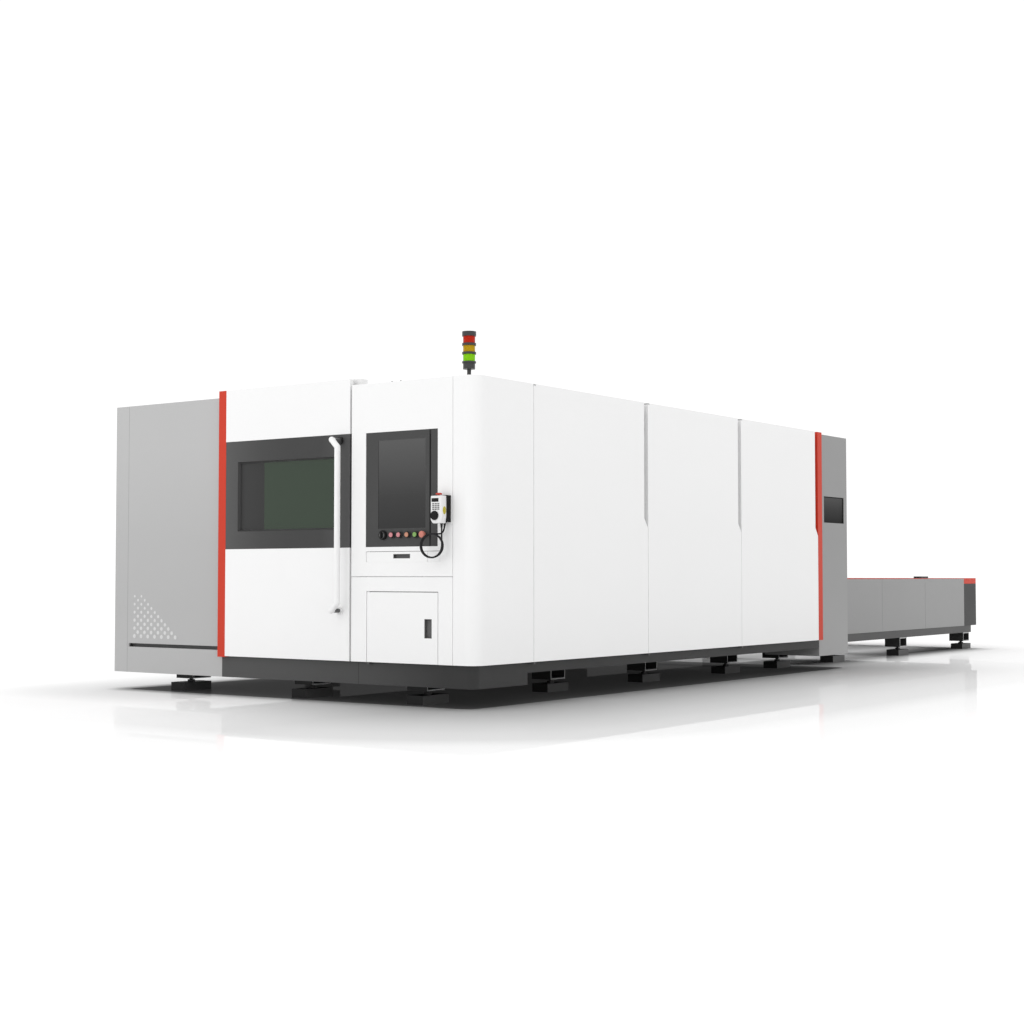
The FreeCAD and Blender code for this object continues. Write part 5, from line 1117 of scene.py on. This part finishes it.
# %% Copies as one plain mesh
def repeated_piece(name, places, model, surface, body, sizes=(1.0, 1.0),
                   variation=0.0, seed=1):
    """Copies of a model on the places, as one plain mesh that rides a body."""
    points = bpy.data.meshes.new(name + "_points")
    points.from_pydata([tuple(place) for place in places], [], [])
    holder = bpy.data.objects.new(name + "_points", points)
    bpy.context.collection.objects.link(holder)
    modifier = holder.modifiers.new("repeat", "NODES")
    modifier.node_group = REPEAT
    heights = [place[2] for place in places]
    values = {"Piece": model, "Size variation": variation, "Seed": seed, "Surface": surface,
              "Low height": min(heights), "High height": max(heights),
              "Low size": sizes[0], "High size": sizes[1]}
    for item in REPEAT.interface.items_tree:
        if item.in_out == "INPUT" and item.name in values:
            modifier[item.identifier] = values[item.name]
    evaluated = holder.evaluated_get(bpy.context.evaluated_depsgraph_get())
    mesh = bpy.data.meshes.new_from_object(evaluated)
    mesh.name = name
    piece = bpy.data.objects.new(name, mesh)
    bpy.context.collection.objects.link(piece)
    bpy.data.objects.remove(holder)
    bpy.data.objects.remove(model)
    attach(piece, body)
    print(name, "has", len(places), "copies and", len(mesh.polygons), "faces")


# %% [markdown]
# ### Dots on the grey front
# Light dots rise from the lower corner of the grey panel. There are eleven
# rows, each with smaller and often fewer dots than the one below, and every
# second row is moved by half a step. They could be painted, but a flat round
# disc for each dot has a clean edge however near the camera is.

# %% Lay out the dots
DOT_PROFILE = [(0.0, 0.0), (0.0125, 0.0), (0.0125, 0.0006), (0.0119, 0.0012), (0.0, 0.0014)]
DOTS_IN_ROW = (7, 6, 6, 5, 5, 4, 4, 3, 3, 2, 2)
DOT_STEP = 0.078
DOT_ROW_STEP = 0.0315
LARGEST_DOT, SMALLEST_DOT = 1.25, 0.8
FIRST_DOT_X, DOTS_Y, LOWEST_DOT_Z = across(3.408), behind(0.04), 0.424
dot_model = turned_piece("dot_model", DOT_PROFILE, (0.0, 0.0, 0.0), FRONT, DOT, steps=24)
dot_places = []
for row, count in enumerate(DOTS_IN_ROW):
    shift = 0.5 * DOT_STEP * (row % 2)
    for number in range(count):
        sideways = FIRST_DOT_X + shift + number * DOT_STEP
        dot_places.append((sideways, DOTS_Y, LOWEST_DOT_Z + row * DOT_ROW_STEP))
repeated_piece("front_dots", dot_places, dot_model, DOT, "machine",
               (LARGEST_DOT, SMALLEST_DOT))

# %% [markdown]
# ### Keys on the pendant
# Below the small display sit four rows of flat rubber keys. Moulded keys are
# never quite alike, so the tree varies their size a little, by a fixed seed.

# %% Lay out the keys
KEY_ROWS = 4
KEY_STEP = 0.022
KEY_ROW_STEP = 0.0125
MIDDLE_KEYS_X, TOP_KEYS_Z = across(0.263), 1.3845
KEY_LOW, KEY_HIGH = (-0.0085, -0.0022, -0.0042), (0.0085, 0.0012, 0.0042)
shape = bmesh.new()
add_block(shape, KEY_LOW, KEY_HIGH, rounding=0.0012)
key_model = finish_piece("key_model", shape, KEYS)
key_places = [(MIDDLE_KEYS_X + column * KEY_STEP, FACE_Y, TOP_KEYS_Z - row * KEY_ROW_STEP)
              for row in range(KEY_ROWS) for column in (-1, 0, 1)]
repeated_piece("pendant_keys", key_places, key_model, KEYS, "machine",
               variation=0.02, seed=4)

# %% [markdown]
# ## Window gaskets
# A sloping strip holds each pane in its recess. It is a small section, high
# at the outside and low at the glass, taken round a rectangle. A curve with
# this section as its bevel would do the same, but it can twist at corners. A
# ring of points for each step of the outline can't.

# %% Gasket along a rectangle with round corners
STRIP_CORNER = 0.003


def round_rectangle(width, height, radius, corner_steps=6):
    """Points and outward directions along a rectangle with round corners."""
    outline = []
    for turn, (side, up) in enumerate(((1, 1), (-1, 1), (-1, -1), (1, -1))):
        for step in range(corner_steps + 1):
            angle = math.pi / 2.0 * (turn + step / corner_steps)
            out = Vector((math.cos(angle), math.sin(angle)))
            hub = Vector((side * (width / 2.0 - radius), up * (height / 2.0 - radius)))
            outline.append((hub + out * radius, out))
    return outline


def gasket(name, middle, sideways, front, width, height, section, surface):
    """Takes a section, which is a list of (inward, forward), round the outline."""
    shape = bmesh.new()
    rings = []
    for spot, out in round_rectangle(width, height, STRIP_CORNER):
        ring = []
        for inward, forward in section:
            flat = spot - out * inward
            place = Vector(middle) + Vector(sideways) * flat.x + Vector((0.0, 0.0, flat.y))
            ring.append(shape.verts.new(place + Vector(front) * forward))
        rings.append(ring)
    count = len(section)
    for first, second in zip(rings, rings[1:] + rings[:1]):
        for number in range(count):
            after = (number + 1) % count
            shape.faces.new([first[number], second[number], second[after], first[after]])
    return finish_piece(name, shape, surface, smooth_angle=50.0)


print("gaskets have corners of", STRIP_CORNER * 1000.0, "mm")

# %% [markdown]
# The door's strip is deep, because its pane lies well behind the band. The
# rear window's strip is flat. The door's strip has to slide with the door, so
# the two are separate pieces on separate bodies.

# %% Strips round the two windows
DOOR_SECTION = [
    (0.0, 0.0), (0.0, 0.0215), (0.001, 0.0225), (0.011, 0.004), (0.0115, 0.003), (0.0115, 0.0),
]
REAR_SECTION = [
    (0.0, 0.0), (0.0, 0.003), (0.001, 0.0048), (0.006, 0.0048), (0.008, 0.002), (0.008, 0.0),
]
STRIP = painted("window_strip_grey", grey(0.055), shine=0.2)
DARK_STRIP = moulded("rear_strip_black", grey(0.012), shine=0.1)

RECESS_LEFT, RECESS_RIGHT = 2.230, 1.217
RECESS_FOOT, RECESS_TOP = 1.231, 1.750
DOOR_PLAY, REAR_PLAY = 0.0002, 0.0004

pane_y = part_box("door_glass")[0][1]
door_middle = (across((RECESS_LEFT + RECESS_RIGHT) / 2.0), pane_y, (RECESS_FOOT + RECESS_TOP) / 2.0)
door_gasket = gasket("door_window_strip", door_middle, RIGHT, FRONT,
                     RECESS_LEFT - RECESS_RIGHT - DOOR_PLAY, RECESS_TOP - RECESS_FOOT - DOOR_PLAY,
                     DOOR_SECTION, STRIP)
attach(door_gasket, "sliding_door")

rear_middle = (REAR_HIGH[0], (REAR_LOW[1] + REAR_HIGH[1]) / 2.0, (REAR_LOW[2] + REAR_HIGH[2]) / 2.0)
rear_gasket = gasket("rear_window_strip", rear_middle, (0.0, 1.0, 0.0), RIGHT,
                     REAR_HIGH[1] - REAR_LOW[1] - REAR_PLAY, REAR_HIGH[2] - REAR_LOW[2] - REAR_PLAY,
                     REAR_SECTION, DARK_STRIP)
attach(rear_gasket, "machine")
print("strips round two windows")

# %% [markdown]
# ## Picture
# The photograph was made in a white studio and retouched: the floor is white
# and polished near the machine, dark below it, and a soft shade surrounds it.
# Lamps can't give all of that at once, so the floor's material does. Most of
# it depends on the distance to a rectangle with round corners.

# %% Distance to a rectangle on the floor
def distance_outside(tree, middle, half, rounding):
    """The distance to a rectangle, which is 0 only well inside it."""
    def step(operation, first, second=None):
        node = tree.nodes.new("ShaderNodeVectorMath")
        node.operation = operation
        tree.links.new(first, node.inputs[0])
        if second is not None:
            node.inputs[1].default_value = second
        return node.outputs

    place = tree.nodes.new("ShaderNodeTexCoord").outputs["Object"]
    flat = step("MULTIPLY", place, (1.0, 1.0, 0.0))["Vector"]
    from_middle = step("SUBTRACT", flat, (middle[0], middle[1], 0.0))["Vector"]
    mirrored = step("ABSOLUTE", from_middle)["Vector"]
    inner = step("SUBTRACT", mirrored, (half[0] - rounding, half[1] - rounding, 0.0))["Vector"]
    outside = step("MAXIMUM", inner, (0.0, 0.0, 0.0))["Vector"]
    return step("LENGTH", outside)["Value"]


print("the distance takes six vector nodes")

# %% [markdown]
# Each tone of the floor is a list of stops again, now over the distance from
# the cabin. The shade is shorter and darker to the left of the cabin than to
# its right, and a second shade lies below the long table.

# %% Shades of the floor
CORNER = 0.1
SHADE_REACH, LEFT_SHADE_REACH, POLISH_REACH = 2.2, 1.1, 4.2
RIGHT_STARTS, RIGHT_ENDS = -0.5, 1.4
TABLE_REACH, TABLE_FRONT, TABLE_REAR = 1.6, 0.6, 5.6
SHADE = [(0.0, 0.52), (0.25, 0.65), (0.5, 0.82), (0.75, 0.94), (1.0, 1.0)]
LEFT_SHADE = [(0.0, 0.3), (0.07, 0.45), (0.13, 0.69), (0.19, 0.82), (0.55, 0.87), (1.0, 1.0)]
TABLE_SHADE = [
    (0.0, 0.48), (0.12, 0.54), (0.25, 0.68), (0.37, 0.55), (0.51, 0.24),
    (0.67, 0.065), (0.78, 0.28), (0.85, 0.58), (0.91, 0.81), (1.0, 1.0),
]
BESIDE_TABLE = [(0.0, 1.0), (0.06, 0.0), (0.94, 0.0), (1.0, 1.0)]
POLISH = [(0.0, 0.28), (0.48, 0.28), (0.56, 0.14), (0.75, 0.05), (1.0, 0.0)]
LEFT_POLISH = 0.4


def open_floor(tree, distance, rightward):
    """White far away, shaded round the cabin and below the table."""
    shade = stepped(tree, distance, CORNER, CORNER + SHADE_REACH, SHADE)
    left_shade = stepped(tree, distance, CORNER, CORNER + LEFT_SHADE_REACH, LEFT_SHADE)
    cabin_tone = mixed(tree, rightward, left_shade, shade)
    from_centre_line = size_of(tree, along(tree, "X"))
    table_shade = stepped(tree, from_centre_line, 0.0, TABLE_REACH, TABLE_SHADE)
    not_table = stepped(tree, along(tree, "Y"), TABLE_FRONT, TABLE_REAR, BESIDE_TABLE)
    table_tone = mixed(tree, not_table, table_shade, grey(1.0))
    return mixed(tree, 1.0, cabin_tone, table_tone, "MULTIPLY")


def mirror_share(tree, distance, rightward):
    """How much the floor mirrors: less far away, and less at the left."""
    polish = stepped(tree, distance, CORNER, CORNER + POLISH_REACH, POLISH)
    less_at_left = mixed(tree, rightward, grey(LEFT_POLISH), grey(1.0))
    return mixed(tree, 1.0, polish, less_at_left, "MULTIPLY")


print("the floor's shade ends", SHADE_REACH, "m from the cabin")

# %% [markdown]
# The floor is a matt white with a share of mirror over it. Below the cabin it
# is nearly black, a painted shadow, with a trace of glow painted in for light
# bounced below the machine, because the photograph never goes quite black
# there. One big plane is enough, as nothing on it has a shape.

# %% Floor
CABIN_MIDDLE, CABIN_HALF = (-0.02, -2.41), (1.72, 3.05)
EDGE_BLUR = 0.012
MIRROR_BLUR = 0.012
# Below the cabin the floor's tone is its painted shadow, and its glow there is painted bounced
# light.
PAINTED_SHADOW_BELOW, MIRROR_BELOW, PAINTED_BOUNCE_BELOW = grey(0.1), grey(0.03), grey(0.012)
RISE = [(0.0, 0.0), (1.0, 1.0)]


def floor_material():
    """Matt and mirror, mixed by the distance from the cabin, with painted shade, and a faint glow
    that stands in for bounced light.
    """
    material = bpy.data.materials.new("studio_floor")
    material.use_nodes = True
    tree = material.node_tree
    tree.nodes.clear()
    distance = distance_outside(tree, CABIN_MIDDLE, CABIN_HALF, CORNER)
    not_below = stepped(tree, distance, CORNER - EDGE_BLUR, CORNER + EDGE_BLUR, RISE)
    rightward = stepped(tree, along(tree, "X"), RIGHT_STARTS, RIGHT_ENDS, RISE)
    matt = tree.nodes.new("ShaderNodeBsdfDiffuse")
    white = mixed(tree, not_below, PAINTED_SHADOW_BELOW, open_floor(tree, distance, rightward))
    tree.links.new(white, matt.inputs["Color"])
    mirror = tree.nodes.new("ShaderNodeBsdfGlossy")
    mirror.inputs["Roughness"].default_value = MIRROR_BLUR
    both = tree.nodes.new("ShaderNodeMixShader")
    polish = mixed(tree, not_below, MIRROR_BELOW, mirror_share(tree, distance, rightward))
    tree.links.new(polish, both.inputs["Fac"])
    tree.links.new(matt.outputs["BSDF"], both.inputs[1])
    tree.links.new(mirror.outputs["BSDF"], both.inputs[2])
    glow = tree.nodes.new("ShaderNodeEmission")
    tree.links.new(mixed(tree, not_below, PAINTED_BOUNCE_BELOW, grey(0.0)), glow.inputs["Color"])
    whole = tree.nodes.new("ShaderNodeAddShader")
    tree.links.new(both.outputs["Shader"], whole.inputs[0])
    tree.links.new(glow.outputs["Emission"], whole.inputs[1])
    output = tree.nodes.new("ShaderNodeOutputMaterial")
    tree.links.new(whole.outputs["Shader"], output.inputs["Surface"])
    return material


bpy.ops.mesh.primitive_plane_add(size=400.0, location=(0.0, 0.0, 0.0))
floor = bpy.context.object
floor.name = "studio_floor"
floor.data.materials.append(floor_material())
print("the floor is", floor.dimensions.x, "m wide")

# %% [markdown]
# Most of the light comes evenly from a white room, as in a light tent. One
# soft lamp in front makes the front a little brighter than the long side. It
# stands far away, so that its light is as even as the room's. Mirrors don't
# show it, or the polished floor would have a white square in it.

# %% Lights
def area_light(name, place, target, size, power):
    """A soft square lamp that looks at a target point. Mirrors don't show it."""
    data = bpy.data.lights.new(name, "AREA")
    data.energy = power
    data.size = size
    lamp = bpy.data.objects.new(name, data)
    bpy.context.collection.objects.link(lamp)
    lamp.location = place
    aim = Vector(target) - Vector(place)
    lamp.rotation_euler = aim.to_track_quat("-Z", "Y").to_euler()
    lamp.visible_glossy = False


world = bpy.data.worlds.new("studio")
bpy.context.scene.world = world
world.use_nodes = True
room = world.node_tree.nodes["Background"]
room.inputs["Color"].default_value = (1.0, 1.0, 1.0, 1.0)
room.inputs["Strength"].default_value = 1.07
area_light("front_softbox", place=(0.5, -34.0, 9.0), target=(0.2, -5.5, 1.2), size=12.0,
           power=880.0)
print("a white room and one lamp")
